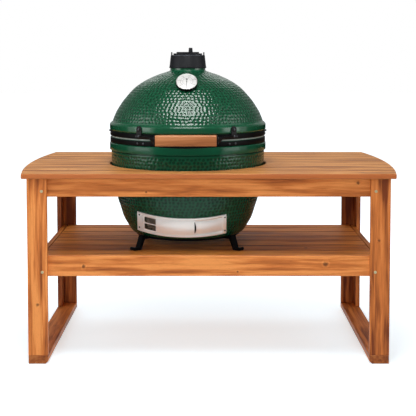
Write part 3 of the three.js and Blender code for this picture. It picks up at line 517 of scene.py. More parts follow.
def base_shell():
    """Grid faces of the bowl with the window's cells left out and the opening's wall added."""
    profile, (first, last), inner_first, pitted = base_profile()
    grid, depth = shell_grid(profile, pitted, 3)
    angle, height, radius = to_leaning(grid)
    rows = np.arange(len(profile))[:, None]
    padded = inside(angle, height, PAD) & (rows < pitted[1]) & (rows > 2)
    flattened = from_leaning(angle, height, np.full_like(radius, PAD["radius"]))
    grid = np.where(padded[..., None], flattened, grid)
    depth[padded] = 0
    depth[pitted[1] + GLAZED_LIP_ROWS:] = -1
    faces = strip_faces(len(profile), SHELL_COLUMNS)
    angle, height = to_leaning(grid.reshape(-1, 3)[faces].mean(1))[:2]
    hole = inside(angle, height, WINDOW).reshape(-1, SHELL_COLUMNS)
    hole[:first] = hole[last:] = False
    mirror = inner_first + last
    hole[mirror - last:mirror - first] = hole[first:last][::-1]
    number = np.arange(grid.size // 3).reshape(-1, SHELL_COLUMNS)
    i, j = np.nonzero(hole[first:last] != np.roll(hole[first:last], -1, 1))
    i, j = i + first, (j + 1) % SHELL_COLUMNS
    corners = (i, j), (i + 1, j), (mirror - i - 1, j), (mirror - i, j)
    sides = np.stack([number[at] for at in corners], axis=-1)
    i, j = np.nonzero(hole[first - 1:last] != hole[first:last + 1])
    i, k = i + first, (j + 1) % SHELL_COLUMNS
    rims = np.stack([number[at] for at in ((i, j), (i, k), (mirror - i, k), (mirror - i, j))], axis=-1)
    poles = [np.full(SHELL_COLUMNS, number.size + i) for i in (0, 1)]
    caps = [np.column_stack([pole, row, np.roll(row, -1)]) for pole, row in zip(poles, number[[0, -1]])]
    points = np.vstack([grid.reshape(-1, 3), [[0, 0, FOOT], [0, 0, FLOOR]]])
    all_faces = [face for part in (faces[~hole.ravel()], sides, rims, *caps) for face in part.tolist()]
    return points, all_faces, np.concatenate([depth.ravel(), [0, -1]])


points, faces, depth = base_shell()
bowl = piece("glazed_base", (points, faces), shaded_base_glaze, "table_and_base", "green_glaze", "base_shell")
store_depth(bowl, depth)

# %% [markdown]
# The dome's profile closes on itself: band seat, rolled lip, the long curve up to the neck, and back
# down the inside. Pits cover it from the lip to the neck. The wide pitted part has the most points
# round the axis, the narrow top and the lips have half as many, and the inside a quarter.

# %% Dome shell
DOME_COLUMNS = 768
DOME_STEP = 3.1
LIP_HIGH = 989.1


def dome_shell():
    """Points, faces and pit depths of the dome."""
    start = rounded([[313, 952.1], [313, 929.1], [346, 929.1], [346, 952.3], [353.2, 955.5], [353.2, 981],
                     [345.5, 988.2], [342, 989.4]], [0, 2, 2, 1, 6, 8, 4, 0], 4)
    side = egg_side(DOME_SHARES, DOME_RADIUS, LIP_HIGH, 227, DOME_STEP)
    side = side[(side[:, 1] > 992) & (side[:, 0] > 88)]
    neck = rounded([[86, 1215.5], [79.5, 1219.5], [79.5, 1246.1], [55, 1246.1], [55, 1192.1], [70, 1188]],
                   [0, 3, 1.5, 1.5, 4, 0], 3)
    inner = egg_side(DOME_SHARES, 314, LIP_HIGH, 199, 12)
    inner = inner[inner[:, 0] > 84][::-1]
    profile = np.vstack([start, side, neck, inner])
    grid, depth = shell_grid(profile, (len(start), len(start) + len(side)), 8, DOME_COLUMNS)
    rows = np.arange(len(profile))
    hidden = (rows == 0) | (rows >= len(profile) - len(inner) - 1)
    depth[hidden | (profile[:, 0] < 60) | (profile[:, 1] < 945)] = -1
    counts = np.full(len(profile), DOME_COLUMNS // 2)
    wide = (rows >= len(start)) & (rows < len(start) + len(side)) & (profile[:, 0] > 190)
    counts[wide] = DOME_COLUMNS
    counts[len(profile) - len(inner):] = DOME_COLUMNS // 4
    skips = DOME_COLUMNS // counts
    points = np.vstack([grid[i, ::skip] for i, skip in enumerate(skips)])
    depths = np.concatenate([depth[i, ::skip] for i, skip in enumerate(skips)])
    return points, ring_faces(counts), depths


points, faces, depth = dome_shell()
dome = piece("glazed_dome", (points, faces), dome_glaze, "lid", "green_glaze", "dome_shell")
store_depth(dome, depth)

# %% [markdown]
# ## Steel, iron and felt
#
# Two black steel bands clamp the rims, with felt between them. Powder coat has a fine orange peel,
# cast iron a coarser sandy skin, and felt is a mat of short fibres. Zinc leaves bolts smooth and grey,
# and fired clay is chalky and without any shine. All of them are noise of the right grain, driven into
# bump and a little into roughness and colour.

# %% Black finishes and felt
def speckled(name, dark, light, grain, depth, settings):
    """A finish with a fine grained skin: noise of one grain moves its colour, its sheen and its relief."""
    made, tree, shader = material(name)
    place = add(tree, "TexCoord", out="Object")
    fine = grains(tree, place, (grain,) * 3)
    slow = grains(tree, place, (grain * 40,) * 3, 2)
    fill(tree, shader, {
        **settings,
        "Base Color": add(tree, "Mix RGBA", add(tree, "Math MULTIPLY", fine, slow), dark, light),
        "Roughness": add(tree, "Math MULTIPLY_ADD", slow, 0.16, settings["Roughness"] - 0.08),
        "Normal": add(tree, "Bump", Distance=depth / 1000, Height=fine)})
    return made


black_steel = speckled("Black powder coated steel", "#050506", "#101114", 0.9, 0.05,
                       {"Roughness": 0.42, "Specular IOR Level": 0.06})
bracket_steel = speckled("Satin black coated steel", "#060607", "#121316", 0.9, 0.05,
                         {"Roughness": 0.36, "Specular IOR Level": 0.14})
black_iron = speckled("Black coated cast iron", "#0b0c0f", "#1c1e24", 1.6, 0.22,
                      {"Roughness": 0.5, "Specular IOR Level": 0.25})
bolt_steel = speckled("Dark zinc bolt steel", "#303236", "#4a4d52", 0.8, 0.02,
                      {"Roughness": 0.32, "Metallic": 0.7})
felt = speckled("Grey green felt", "#9aaba3", "#cbd6d0", 0.8, 0.35,
                {"Roughness": 0.95, "Sheen Weight": 0.3})
clay = speckled("Bare fired clay", "#a08a6e", "#d0bd9f", 2.5, 0.3, {"Roughness": 0.92})
print("finishes", black_steel.name, black_iron.name, felt.name, clay.name)

# %% [markdown]
# Each band is strip steel bent to a ring, and bolts clamp it to its rim. At the rear its ears hold the
# hinge pin, and felt is glued to the rims. Bands and felts are turned, as a ring with rounded edges
# would be hard to bevel evenly, and an ear is a flat outline with rounded rims.

# %% Bands, gaskets and the hinge
LOWER_BAND, UPPER_BAND = (900.3, 920.8), (929.4, 951.4)
HINGE_Y, HINGE_Z = 398, 923.3


def band_ring(low, high):
    """A steel band between two heights."""
    return turned(rounded([[346.3, low], [351, low], [351, high], [346.3, high]], 1.1, 3), 360)


def hinge_ear(corners, x, radii):
    """A flat ear in the YZ plane, 8 mm thick from x."""
    return turn(turn(prism(rounded(corners, radii, 8), x, x + 8, 1), "X", 90), "Z", 90)


def on_ring(part, angle, radius, height):
    """A part that points along Z, set on a ring so that it points outwards there."""
    return shift(turn(shift(turn(part, "X", 90), y=-radius), "Z", angle), z=height)


EAR_LOW = [[340, 900.3], [398, 910], [411, 910], [411, 936.5], [385, 936.5], [340, 920.8]]
EAR_HIGH = [[340, 929.4], [385, 929.4], [385, 912], [411, 912], [411, 937], [398, 938], [340, 951.4]]
lower = [band_ring(*LOWER_BAND)]
lower += [hinge_ear(EAR_LOW, x, [0, 6, 12, 12, 12, 0]) for x in (-62, 54)]
upper = [band_ring(*UPPER_BAND)]
upper += [hinge_ear(EAR_HIGH, x, [0, 2, 12, 12, 12, 6, 0]) for x in (-53.5, 45.5)]
for angle in (-90, 90):
    upper.append(on_ring(button(4.2, 7.4, 1.6), angle, 350.6, 946.8))
    upper.append(on_ring(button(3.4, 3, 1.2), angle, 350.6, 933.2))
piece("lower_steel_band", joined(lower), black_steel, "table_and_base", "black_steel", "lower_band")
piece("upper_steel_band", joined(upper), black_steel, "lid", "black_steel", "upper_band")
for name, body, height, angles in (("lower_band_bolts", "table_and_base", 910.6, (31.5, 36.5)),
                                   ("upper_band_bolts", "lid", 940.4, (31.5, 37.5))):
    places = [side * angle for side in (-1, 1) for angle in angles]
    heads = [on_ring(button(4.5, 3.4, 1.4), angle, 350.8, height) for angle in places]
    piece(name, joined(heads), bolt_steel, body, "black_steel")
for name, low, body, node in (("lower_felt", 923.3, "table_and_base", "base_gasket"),
                              ("upper_felt", 926.2, "lid", "dome_gasket")):
    high = low + 2.6
    section = rounded([[314.5, low], [344.5, low], [344.5, high], [314.5, high]], 0.6, 3)
    piece(name, turned(section, 240), felt, body, "felt", node)
pin_side = rounded([[0, -65.5], [8, -65.5], [8, -62.5], [5, -62.5],
                    [5, 62.5], [8, 62.5], [8, 65.5], [0, 65.5]], [0, 1, 0, 0, 0, 0, 1, 0], 3)
pin = shift(turn(turned(pin_side, 40), "Y", 90), y=HINGE_Y, z=HINGE_Z)
piece("hinge_rod", pin, black_steel, "table_and_base", "black_steel", "hinge_pin")

# %% [markdown]
# The handle is a hardwood bar between two bent steel brackets. A thin black steel bar behind it shows
# its bowed lower edge under the wood, a dark strip that paints shade under the grip. Each bracket has a
# strap that is bolted over the bands and the lip, an arm that comes forward and an end plate that the
# hardwood bar is screwed to. An arm could be a curve with a bevel, but it grows taller towards the grip,
# so its eight edges are carried along its plan.

# %% Brackets
ARM_LOW, ARM_RAISED, ARM_HIGH = 921, 935, 946
ARM_DROP = (141, 158)
STRAP_ANGLE = 34.5
STRAP_INNER, STRAP_OUTER = 353.3, 358.3


def arm_bar(side, stations=30, ease=1.6):
    """The bar from the strap to the grip's end. Its lower edge drops between the two x of ARM_DROP."""
    share = np.linspace(0, 1, stations)
    edges = []
    for line in (rounded([[205.1, -293.7], [132.8, -388], [132.8, -415]], [0, 14, 0], 8),
                 rounded([[195.1, -296.2], [127.8, -393], [127.8, -415]], [0, 9, 0], 8)):
        length = np.concatenate([[0], np.cumsum(np.hypot(*np.diff(line, axis=0).T))])
        edges.append(np.column_stack([np.interp(share * length[-1], length, line[:, i]) for i in (0, 1)]))
    outer, inner = edges
    across = (inner - outer) / np.linalg.norm(inner - outer, axis=1)[:, None] * ease
    drop_end, drop_start = ARM_DROP
    low = ARM_LOW + (ARM_RAISED - ARM_LOW) * eased((outer[:, 0] - drop_end) / (drop_start - drop_end))
    high = np.full(stations, ARM_HIGH)
    corners = [(outer, low + ease), (outer, high - ease), (outer + across, high), (inner - across, high),
               (inner, high - ease), (inner, low + ease), (inner - across, low), (outer + across, low)]
    grid = np.stack([np.column_stack([plan * [side, 1], z]) for plan, z in corners], axis=1)
    return grid.reshape(-1, 3), capped(stations, len(corners))


def bracket(side):
    """One bracket, on the right for side 1 and on the left for side -1."""
    middle = STRAP_ANGLE * side
    strap = arc_plate(STRAP_INNER, STRAP_OUTER, middle - 2.1, middle + 2.1, 933.5, 973, 1, 4)
    disc = turned(rounded([[0, 0], [12.9, 0], [12.9, 5], [0, 5]], [0, 1, 1, 0], 3), 36)
    crown = on_ring(disc, middle, STRAP_INNER, 973)
    end = oblong((127.8, -419.5, 913), (132.8, -388, 953), 1.2, 2)
    parts = [strap, crown, arm_bar(side), (end[0] * [side, 1, 1], end[1])]
    heads = [on_ring(button(5.2, 3.6, 1.6), middle, STRAP_OUTER + 0.1, height) for height in (942, 971)]
    for height in (922, 944):
        heads.append(shift(turn(button(4.2, 2.6, 1.2), "Y", 90 * side), 132.9 * side, -405, height))
    return joined(parts), joined(heads)


for side, name in ((-1, "left"), (1, "right")):
    arm, heads = bracket(side)
    piece(f"handle_arm_{name}", arm, bracket_steel, "lid", "black_steel", f"handle_bracket_{name}")
    piece(f"handle_screws_{name}", heads, bolt_steel, "lid", "black_steel")

# %% [markdown]
# ## Wood
#
# The table is oiled hardwood. A board is a slice of a tree, so its figure is made as one: rings round
# a heart line that runs beside the board and leans a little, bent by slow noise. Over them lie broad
# streaks, fine fibres and short dark pores, all long along the grain. Every board has its own draw
# of where it was cut, so no two match. A knot is a dark spot that pushes the rings apart.

# %% Hardwood
AXIS_ORDER = {"X": "XYZ", "Y": "YZX", "Z": "ZXY"}


def knot_marks(tree, place, rings, knots):
    """The rings moved by 1.1 * e^(-0.3 q^2) near each knot, where q is the distance from its middle over
    its radius, roughened by noise, and the knots' dark spots."""
    spots = 0
    for at, size in knots:
        off = add(tree, "VectorMath SUBTRACT", place, tuple(v / 1000 for v in at))
        near = add(tree, "Math DIVIDE", add(tree, "VectorMath LENGTH", off), size / 1000)
        near = add(tree, "Math MULTIPLY_ADD", grains(tree, place, (9, 9, 9), 2), 1.2, near)
        power = add(tree, "Math MULTIPLY", add(tree, "Math MULTIPLY", near, near), -0.3)
        rings = add(tree, "Math MULTIPLY_ADD", add(tree, "Math POWER", 2.718, power), 1.1, rings)
        spots = add(tree, "Math MAXIMUM", spots, add(tree, "MapRange SMOOTHSTEP", near, 0.9, 1.9, 1, 0))
    return rings, spots


def hardwood(name, along, seed, tones, centre, knots=(), shine=0.5, side_shade_reach=0.0, painted_shade=0.0):
    """A board's finish: light, middle and dark tones, its grain along one axis, cut at random from a tree.
    Its ends are darker. Given a reach in metres, shade is painted on its faces to the front and back,
    and deeper shade on those that lie nearer than the reach to the middle line, in the gaps between boards.
    The last argument, above zero, paints shade over the whole board, and below zero paints light on it."""
    made, tree, shader = material(name)
    draws = np.random.default_rng(seed)
    place = add(tree, "TexCoord", out="Object")
    axes = add(tree, "SeparateXYZ", place, out=None)
    order = AXIS_ORDER[along]
    grain = add(tree, "CombineXYZ", *(axes[letter] for letter in order))
    middle = [centre["XYZ".index(letter)] for letter in order]
    shifted = add(tree, "VectorMath ADD", grain, draws.uniform(2, 9, 3).tolist())
    slow = grains(tree, shifted, (500, 90, 90), 2, 0.5, "Color")
    wander = add(tree, "VectorMath SUBTRACT", slow, (0.5, 0.5, 0.5))
    wander = add(tree, "VectorMath MULTIPLY", wander, (0, 0.05, 0.05))
    round_by, off_by = draws.uniform(0, 2 * math.pi), draws.uniform(0.05, 0.13)
    heart = (0, middle[1] + off_by * math.cos(round_by), middle[2] + off_by * math.sin(round_by))
    run = add(tree, "Math MULTIPLY", axes[along], float(draws.uniform(-0.035, 0.035)))
    flat = add(tree, "VectorMath ADD", add(tree, "VectorMath SUBTRACT", grain, heart), wander)
    flat = add(tree, "VectorMath ADD", flat, add(tree, "CombineXYZ", 0, run, run))
    flat = add(tree, "VectorMath MULTIPLY", flat, (0, 1, 1))
    spacing = float(draws.uniform(0.012, 0.021))
    ring_place = add(tree, "Math DIVIDE", add(tree, "VectorMath LENGTH", flat), spacing)
    ring_place, spots = knot_marks(tree, place, ring_place, knots)
    ring = add(tree, "Math FRACT", ring_place)
    late = add(tree, "Math MULTIPLY", add(tree, "MapRange SMOOTHSTEP", ring, 0.25, 0.9),
               add(tree, "MapRange SMOOTHSTEP", ring, 0.93, 1, 1, 0))
    streaks = add(tree, "MapRange SMOOTHSTEP", grains(tree, shifted, (420, 17, 17), 4, 0.6), 0.36, 0.68)
    broad = add(tree, "MapRange SMOOTHSTEP", grains(tree, shifted, (330, 34, 34)), 0.4, 0.66)
    fibres = grains(tree, shifted, (70, 2.2, 2.2), 3, 0.7)
    pores = add(tree, "MapRange SMOOTHSTEP", grains(tree, shifted, (16, 0.9, 0.9), 1), 0.62, 0.74)
    # A random tone for the board, moved by its painted shade.
    tone = float(draws.uniform(-0.13, 0.13)) + painted_shade - 0.08
    for part, share in ((late, 0.12), (streaks, 0.42), (broad, 0.42), (fibres, 0.22)):
        tone = add(tree, "Math MULTIPLY_ADD", part, share, tone)
    light, mid, dark = tones
    colour = add(tree, "Mix RGBA", add(tree, "MapRange LINEAR", tone, 0.08, 0.45), light, mid)
    colour = add(tree, "Mix RGBA", add(tree, "MapRange LINEAR", tone, 0.45, 0.95), colour, dark)
    facing = add(tree, "SeparateXYZ", add(tree, "TexCoord", out="Normal"), out=None)
    end, edge = (add(tree, "MapRange SMOOTHSTEP", add(tree, "Math ABSOLUTE", facing[axis]), 0.6, 0.8)
                 for axis in (along, "Y"))
    stains_and_shade = [(pores, 0.3, dark), (end, 0.62, add(tree, "Mix RGBA", 0.5, dark, "#5a3018"))]
    # Painted shade: faces to the front and back take a darker, redder tone, and those in the gaps between
    # boards a much darker one.
    if side_shade_reach:
        between_boards = add(tree, "Math LESS_THAN", add(tree, "Math ABSOLUTE", axes["Y"]), side_shade_reach)
        stains_and_shade += [(edge, 0.85, "#a8582a"), (add(tree, "Math MULTIPLY", edge, between_boards), 0.85, "#2a150a")]
    if knots:
        stains_and_shade.append((spots, 0.8, "#4a2a16"))
    for share, weight, tint in stains_and_shade:
        colour = add(tree, "Mix RGBA", add(tree, "Math MULTIPLY", share, weight), colour, tint)
    height = add(tree, "Math MULTIPLY_ADD", pores, -0.6, fibres)
    fill(tree, shader, {"Base Color": colour, "Roughness": shine, "Specular IOR Level": 0.28,
                        "Normal": add(tree, "Bump", Distance=0.22 / 1000, Height=height)})
    return made


TOP_TONES = ("#e3a260", "#c78442", "#8d5024")
FRAME_TONES = ("#e2924d", "#c37033", "#70320f")
SHELF_TONES = ("#e99744", "#c87531", "#763b13")
GRIP_TONES = ("#b5774a", "#a06339", "#7c4826")
# Painted light and shade on whole boards: above zero, shade where less light falls on a board, as on the
# rear legs; below zero, light where more falls, as on the front slats of the shelf.
PAINTED_SHADE = {"leg_front_right": 0.14, "leg_rear_left": 0.25, "leg_rear_right": 0.32, "apron_front": -0.16,
          "apron_left": -0.08, "apron_right": 0.05, "shelf_apron_front": -0.04, "shelf_slat_1": -0.3,
          "shelf_slat_2": -0.15}
# Boards with painted shade on their faces to the front and back, and how far from the middle line their
# gaps reach.
SIDE_SHADED = {"top_board": 0.465, "shelf_slat": 0.5}
KNOTS = {
    "shelf_apron_front": [((-522, -430, 407), 9), ((487, -430, 416), 11), ((120, -430, 385), 5)],
    "apron_front": [((620, -430, 757), 8), ((-260, -430, 720), 5)],
    "leg_front_left": [((-712, -450, 250), 7)],
    "leg_front_right": [((705, -450, 520), 6)],
    "top_board_2_left": [((-600, -300, 800), 9)],
    "top_board_1": [((640, -420, 800), 7)],
    "shelf_slat_3": [((430, -170, 435), 9)],
}


def board_kind(name):
    """Grain axis and tones of a wooden node, by its name."""
    if name.startswith("top_board"):
        return "X", TOP_TONES
    if name.startswith("leg"):
        return "Z", FRAME_TONES
    if name.startswith(("runner", "bearer")) or name in ("apron_left", "apron_right"):
        return "Y", FRAME_TONES
    if name.startswith("shelf_rail"):
        return "Y", SHELF_TONES
    if name.startswith("apron") or name == "shelf_apron_front":
        return "X", FRAME_TONES
    return "X", SHELF_TONES


WOODEN = ("top_board", "leg", "runner", "bearer", "apron", "shelf")
wooden = sorted(name for name in nodes if name.startswith(WOODEN))
for seed, name in enumerate(wooden):
    low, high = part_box(name)
    along, tones = board_kind(name)
    side_shade_reach = next((reach for start, reach in SIDE_SHADED.items() if name.startswith(start)), 0.0)
    finish = hardwood(f"Oiled hardwood {name}", along, 100 + seed, tones, (low + high) / 2,
                      KNOTS.get(name, ()), side_shade_reach=side_shade_reach, painted_shade=PAINTED_SHADE.get(name, 0.0))
    finish_node(name, finish)
print("boards finished", len(wooden))

# %% [markdown]
# The grip is milled out of one piece, with well rounded edges where a hand closes round it. So it is an
# outline raised along its length. The black bar behind it is flat, and its lower edge, a parabola,
# paints a strip of shade under the grip.

# %% Handle grip
GRIP_HALF, GRIP_Y, GRIP_Z = 127.5, -405, 933
BAR_HALF, BAR_LOW, BAR_RISE, BAR_HIGH = 131, 897.6, 7.4, 935
grip_section = rounded([[-17, -23], [17, -23], [17, 23], [-17, 23]], 8, 6)
grip = turn(turn(prism(grip_section, -GRIP_HALF, GRIP_HALF, 2.5, 4), "X", 90), "Z", 90)
grip_finish = hardwood("Smooth hardwood grip", "X", 77, GRIP_TONES, (-0.095, -0.425, 0.933), shine=0.36)
piece("wooden_grip", shift(grip, y=GRIP_Y, z=GRIP_Z), grip_finish, "lid", "handle_wood", "handle_grip")
# A black bar behind the grip, whose bowed lower edge paints a dark strip of shade under it.
along = np.linspace(BAR_HALF, -BAR_HALF, 27)
lower_edge = np.column_stack([along, BAR_LOW + BAR_RISE * (along / BAR_HALF) ** 2])
bar_outline = np.vstack([[[-BAR_HALF, BAR_HIGH], [BAR_HALF, BAR_HIGH]], lower_edge])
shade_bar = shift(turn(prism(bar_outline, 0, 3.6, 0.6), "X", 90), y=-384)
piece("grip_shade_bar", shade_bar, bracket_steel, "lid", "black_steel")

# %% [markdown]
# Brass coated bolts hold each leg to the aprons. They are small, but they catch the light, so each is
# a real domed head.

# %% Brass bolts
brass = speckled("Pale brass coated bolt", "#b9b487", "#e6e4c4", 1.2, 0.03,
                 {"Roughness": 0.4, "Metallic": 0.6})
bolts = []
for x in (-691, 691):
    for y, face in ((-450, 1), (450, -1)):
        for z in (725, 387 if y < 0 else 372):
            bolts.append(shift(turn(button(6, 2.6, 2, 28), "X", 90 * face), x, y, z))
piece("leg_bolts", joined(bolts), brass, "table_and_base", "frame_wood", origin=np.zeros(3))

# %% [markdown]
# ## Draft door
#
# The draft door is brushed stainless steel, bent to the foot of the egg. Its frame is a plate with an
# upper and a lower track, in which a wire screen and a plain door slide. Every plate is a section
# carried along an arc about the leaning axis, so the pieces keep their distances all the way round.

# %% Stainless steel
def brushed(name, colour, rough, metal=1.0):
    """Brushed steel: scratches long round the part and fine across it, in roughness and relief."""
    made, tree, shader = material(name)
    place = add(tree, "TexCoord", out="Object")
    lines = grains(tree, place, (90, 90, 0.5), 3, 0.7)
    smears = grains(tree, place, (70, 70, 24), 2)
    fill(tree, shader, {
        "Metallic": metal,
        "Base Color": add(tree, "Mix RGBA", add(tree, "Math MULTIPLY", smears, 0.12), colour, "#bdb8b0"),
        "Roughness": add(tree, "Math MULTIPLY_ADD", lines, 0.12, rough - 0.06),
        "Normal": add(tree, "Bump", Distance=0.012 / 1000, Height=lines)})
    return made


stainless = brushed("Satin brushed stainless steel", "#f8f8f6", 0.33, 0.5)


def bent(section, low_angle, high_angle, steps=48, ease=0.3):
    """A section of radius and height carried along an arc about the leaning axis."""
    return carried(rounded(section, ease, 2), low_angle, high_angle, steps, from_leaning)


def sheet(inner, outer, low_angle, high_angle, low, high, steps=24, ease=0.3):
    """A bent sheet between two radii, two angles and two heights."""
    section = [[inner, low], [outer, low], [outer, high], [inner, high]]
    return bent(section, low_angle, high_angle, steps, ease)


def on_plate(part, angle, height, radius):
    """A part that points along Z, set on the leaning cylinder so that it points outwards there."""
    x, y, z = on_ring(part, angle, radius, height)[0].T
    return from_leaning(np.degrees(np.arctan2(x, -y)), z, np.hypot(x, y)), part[1]


# %% Draft frame and door
TRACK = [[299, 29], [301, 29], [301, 38], [304.7, 38], [304.7, 36], [306.1, 36], [306.1, 43], [299, 43]]
frame_parts = [bent(TRACK, -45, 34), bent([[r, -h] for r, h in TRACK], -45, 34)]
frame_parts += [sheet(299, 301, -45, -38, -29.2, 29.2), sheet(299, 301, -5, 34, -29.2, 29.2)]
frame_parts += [sheet(300.5, 306.1, -45, -39, -38.2, 38.2), sheet(300.5, 306.1, 31, 34, -38.2, 38.2)]
screw_places = ((-42.4, 31), (-42.4, -27), (32.6, 31), (32.6, -30))
plate_screws = [on_plate(button(3.6, 2.2, 1.4), angle, height, 306.2) for angle, height in screw_places]
piece("draft_plate", joined(frame_parts), stainless, "table_and_base", "stainless", "draft_frame")
piece("draft_plate_screws", joined(plate_screws), bolt_steel, "table_and_base", "stainless")

door = sheet(303, 304.2, -26, 7, -37.4, 37.4, 40)
piece("draft_slide", door, stainless, "draft_door", "stainless", "draft_door")


def finger_tab(half, reach, lean, thickness=0.18):
    """A lens shaped tab: at height h it stands out by reach * (1 - (h / half)^2), and leans to the right.
    Half its thickness is given as an angle in degrees."""
    h = np.linspace(-half, half, 25)
    out = 0.3 + reach * (1 - (h / half) ** 2)
    rows = []
    for side, tip in ((-1, 0), (1, 0), (1, 1), (-1, 1)):
        rows.append(from_leaning(6.6 + side * thickness + tip * out * lean, h, 304 + tip * out))
    first = np.arange(4) * len(h)
    ends = [first.tolist(), (first + len(h) - 1).tolist()]
    return np.vstack(rows), strip_faces(4, len(h), around=False, closed=True).tolist() + ends


# The tab is finished in black, while the door is stainless: the black paints a lens of shade beside the
# door's edge.
piece("shaded_draft_tab", finger_tab(25, 8, 0.1), black_steel, "draft_door", "black_steel")

# %% [markdown]
# The screen is a sheet with two openings, with wire cloth welded into them. The sheet is made of strips,
# and small webs round the corners of its openings. The real cloth is finer: its wires are drawn 2.8 mm
# apart, so that they show in the render.

# %% Draft screen
SCREEN_RADIUS = 302
screen_parts = [sheet(301.5, 302.5, angle, angle + 1.2, -37.4, 37.4, 4) for angle in (-38.6, -5.6)]
for low, high in ((-37.4, -28), (-2.2, 2.2), (28, 37.4)):
    screen_parts.append(sheet(301.5, 302.5, -37.8, -5.2, low, high, 32))


def corner_web(angle, height, across, up, size=7):
    """A web that rounds an inner corner: a quarter circle of radius size that touches both edges."""
    t = np.linspace(0, math.pi / 2, 9)
    along = np.concatenate([[-1], size * (1 - np.sin(t))]) * across
    rise = np.concatenate([[-1], size * (1 - np.cos(t))]) * up
    turned_by = angle + np.degrees(along / SCREEN_RADIUS)
    rows = [from_leaning(turned_by, height + rise, r) for r in (301.6, 302.4)]
    return np.vstack(rows), capped(2, len(along))


for low, high in ((-28, -2.2), (2.2, 28)):
    for angle, across in ((-37.4, 1), (-5.6, -1)):
        screen_parts.append(corner_web(angle, low, across, 1))
        screen_parts.append(corner_web(angle, high, across, -1))
piece("draft_screen_frame", joined(screen_parts), stainless, "draft_screen", "stainless", "draft_screen")

WIRE_PITCH = 2.8
wires = []
for angle in np.arange(-37.3, -5.7, math.degrees(WIRE_PITCH / SCREEN_RADIUS)):
    wires.append(sheet(301.8, 302.1, angle, angle + 0.11, -28.3, 28.3, 1, 0.1))
for height in np.arange(-27, 28, WIRE_PITCH):
    wires.append(sheet(301.9, 302.3, -37.6, -5.4, height - 0.26, height + 0.26, 32, 0.1))
woven = brushed("Woven steel wire", "#85827b", 0.45)
piece("draft_mesh", joined(wires), woven, "draft_screen", "stainless")

# %% [markdown]
# ## Vent cap
#
# The cap is a cast iron collar over the neck. It has two ears, and a hinged plate on top with petal
# openings, which a second disc turns over to close. The collar is turned, and the ears are short
# arcs, and a little wider at the top. The collar's upper rim is smoother, partly metallic iron in a
# lighter colour, and the lighter colour paints a highlight on it.

# %% Cap
collar = turned(rounded([[79.8, 1229.1], [84, 1229.1], [84, 1235.1], [82.9, 1235.6], [77.4, 1285],
                         [75.6, 1285.2], [75.4, 1288.1], [55, 1288.1], [55, 1246.4], [79.8, 1246.4]],
                        [0.5, 1.2, 1.2, 0.4, 0.4, 0.2, 0.8, 2, 0.5, 0.5], 4), 180)
rim = turned(rounded([[75.7, 1285.3], [77.5, 1285.3], [77, 1288.1], [75.7, 1288.1]], 0.5, 3), 180)
# A lighter colour on the rim paints a highlight; the rim is also smoother and partly metallic.
rim_highlight_iron = speckled("Iron rim with painted highlight", "#43474e", "#5d6169", 1.6, 0.05,
                       {"Roughness": 0.34, "Metallic": 0.5})
piece("cap_rim", rim, rim_highlight_iron, "lid", "black_iron")
EAR_PARTS = ((-10, 10, 1283, 1296, 8), (-10, -4, 1294, 1301, 3), (4, 10, 1294, 1301, 3))
cap_parts = [collar]
for middle in (-90, 90):
    for start, end, low, high, steps in EAR_PARTS:
        cap_parts.append(arc_plate(71, 75.6, middle + start, middle + end, low, high, 1.2, steps))
for x in (-15, 9):
    cap_parts.append(oblong((x, 69, 1282), (x + 6, 78, 1302), 1, 2))
piece("cap_collar", joined(cap_parts), black_iron, "lid", "black_iron", "vent_cap")
for name in ("cap_plate", "daisy_disc", "charcoal_grate"):
    finish_node(name, black_iron)
finish_node("nest", black_steel)

# %% [markdown]
# ## Thermometer
#
# A dark case screwed into the dome, with a bright bezel, a white enamelled dial and a black pointer. The
# dial's ticks and numbers are thin raised shapes, so they stay sharp at any size. The pointer is a
# piece of its own, because it turns.

# %% Thermometer
DIAL_MIDDLE, DIAL_LEAN = (0, -215.0, 1157.0), 45
FACE_TOP, POINTER_LOW = 24, 24.3
SWEEP = 300
white_enamel = speckled("White enamel", "#cccbc9", "#d8d7d4", 4.0, 0.02, {"Roughness": 0.3})
dial_ink = speckled("Black dial ink", "#17181a", "#26272a", 1.0, 0.01, {"Roughness": 0.5})
grey_ink = speckled("Grey dial ink", "#6c6d70", "#7e7f82", 1.0, 0.01, {"Roughness": 0.5})
polished = brushed("Satin bezel steel", "#c9c7c4", 0.3)


def on_dial(part):
    """A part laid on the dial, which leans back and stands off the dome."""
    return shift(turn(part, "X", DIAL_LEAN), *DIAL_MIDDLE)


case = turned(rounded([[0, -70], [5, -70], [5, 7.5], [45.6, 7.5],
                       [46, 22.2], [42.6, 22.2], [42.6, 22.8], [0, 22.8]], [0, 1, 0, 3, 0.5, 0, 0, 0], 4))
bezel = turned(rounded([[46, 22.3], [46, 25.4], [43, 25.4], [43, 23]], [0.6, 1.4, 0.9, 0.2], 5))
face = turned(rounded([[0, 22.9], [42.9, 22.9], [42.9, FACE_TOP], [0, FACE_TOP]], [0, 0.1, 0.1, 0], 2))
piece("gauge_case", on_dial(case), black_steel, "lid", "dial_white", "thermometer_case")
piece("gauge_bezel", on_dial(bezel), polished, "lid", "stainless")
piece("gauge_face", on_dial(face), white_enamel, "lid", "dial_white")


def letters(text, size):
    """Flat shapes of a few characters, centred on the origin, in millimetres."""
    curve = bpy.data.curves.new("letters", "FONT")
    curve.body, curve.size, curve.align_x, curve.align_y = text, size, "CENTER", "CENTER"
    holder = bpy.data.objects.new("letters", curve)
    scene.collection.objects.link(holder)
    bpy.context.view_layer.update()
    mesh = bpy.data.meshes.new_from_object(holder.evaluated_get(bpy.context.evaluated_depsgraph_get()))
    points = np.array([v.co for v in mesh.vertices])
    faces = [list(p.vertices) for p in mesh.polygons]
    bpy.data.objects.remove(holder)
    bpy.data.curves.remove(curve)
    bpy.data.meshes.remove(mesh)
    return points, faces


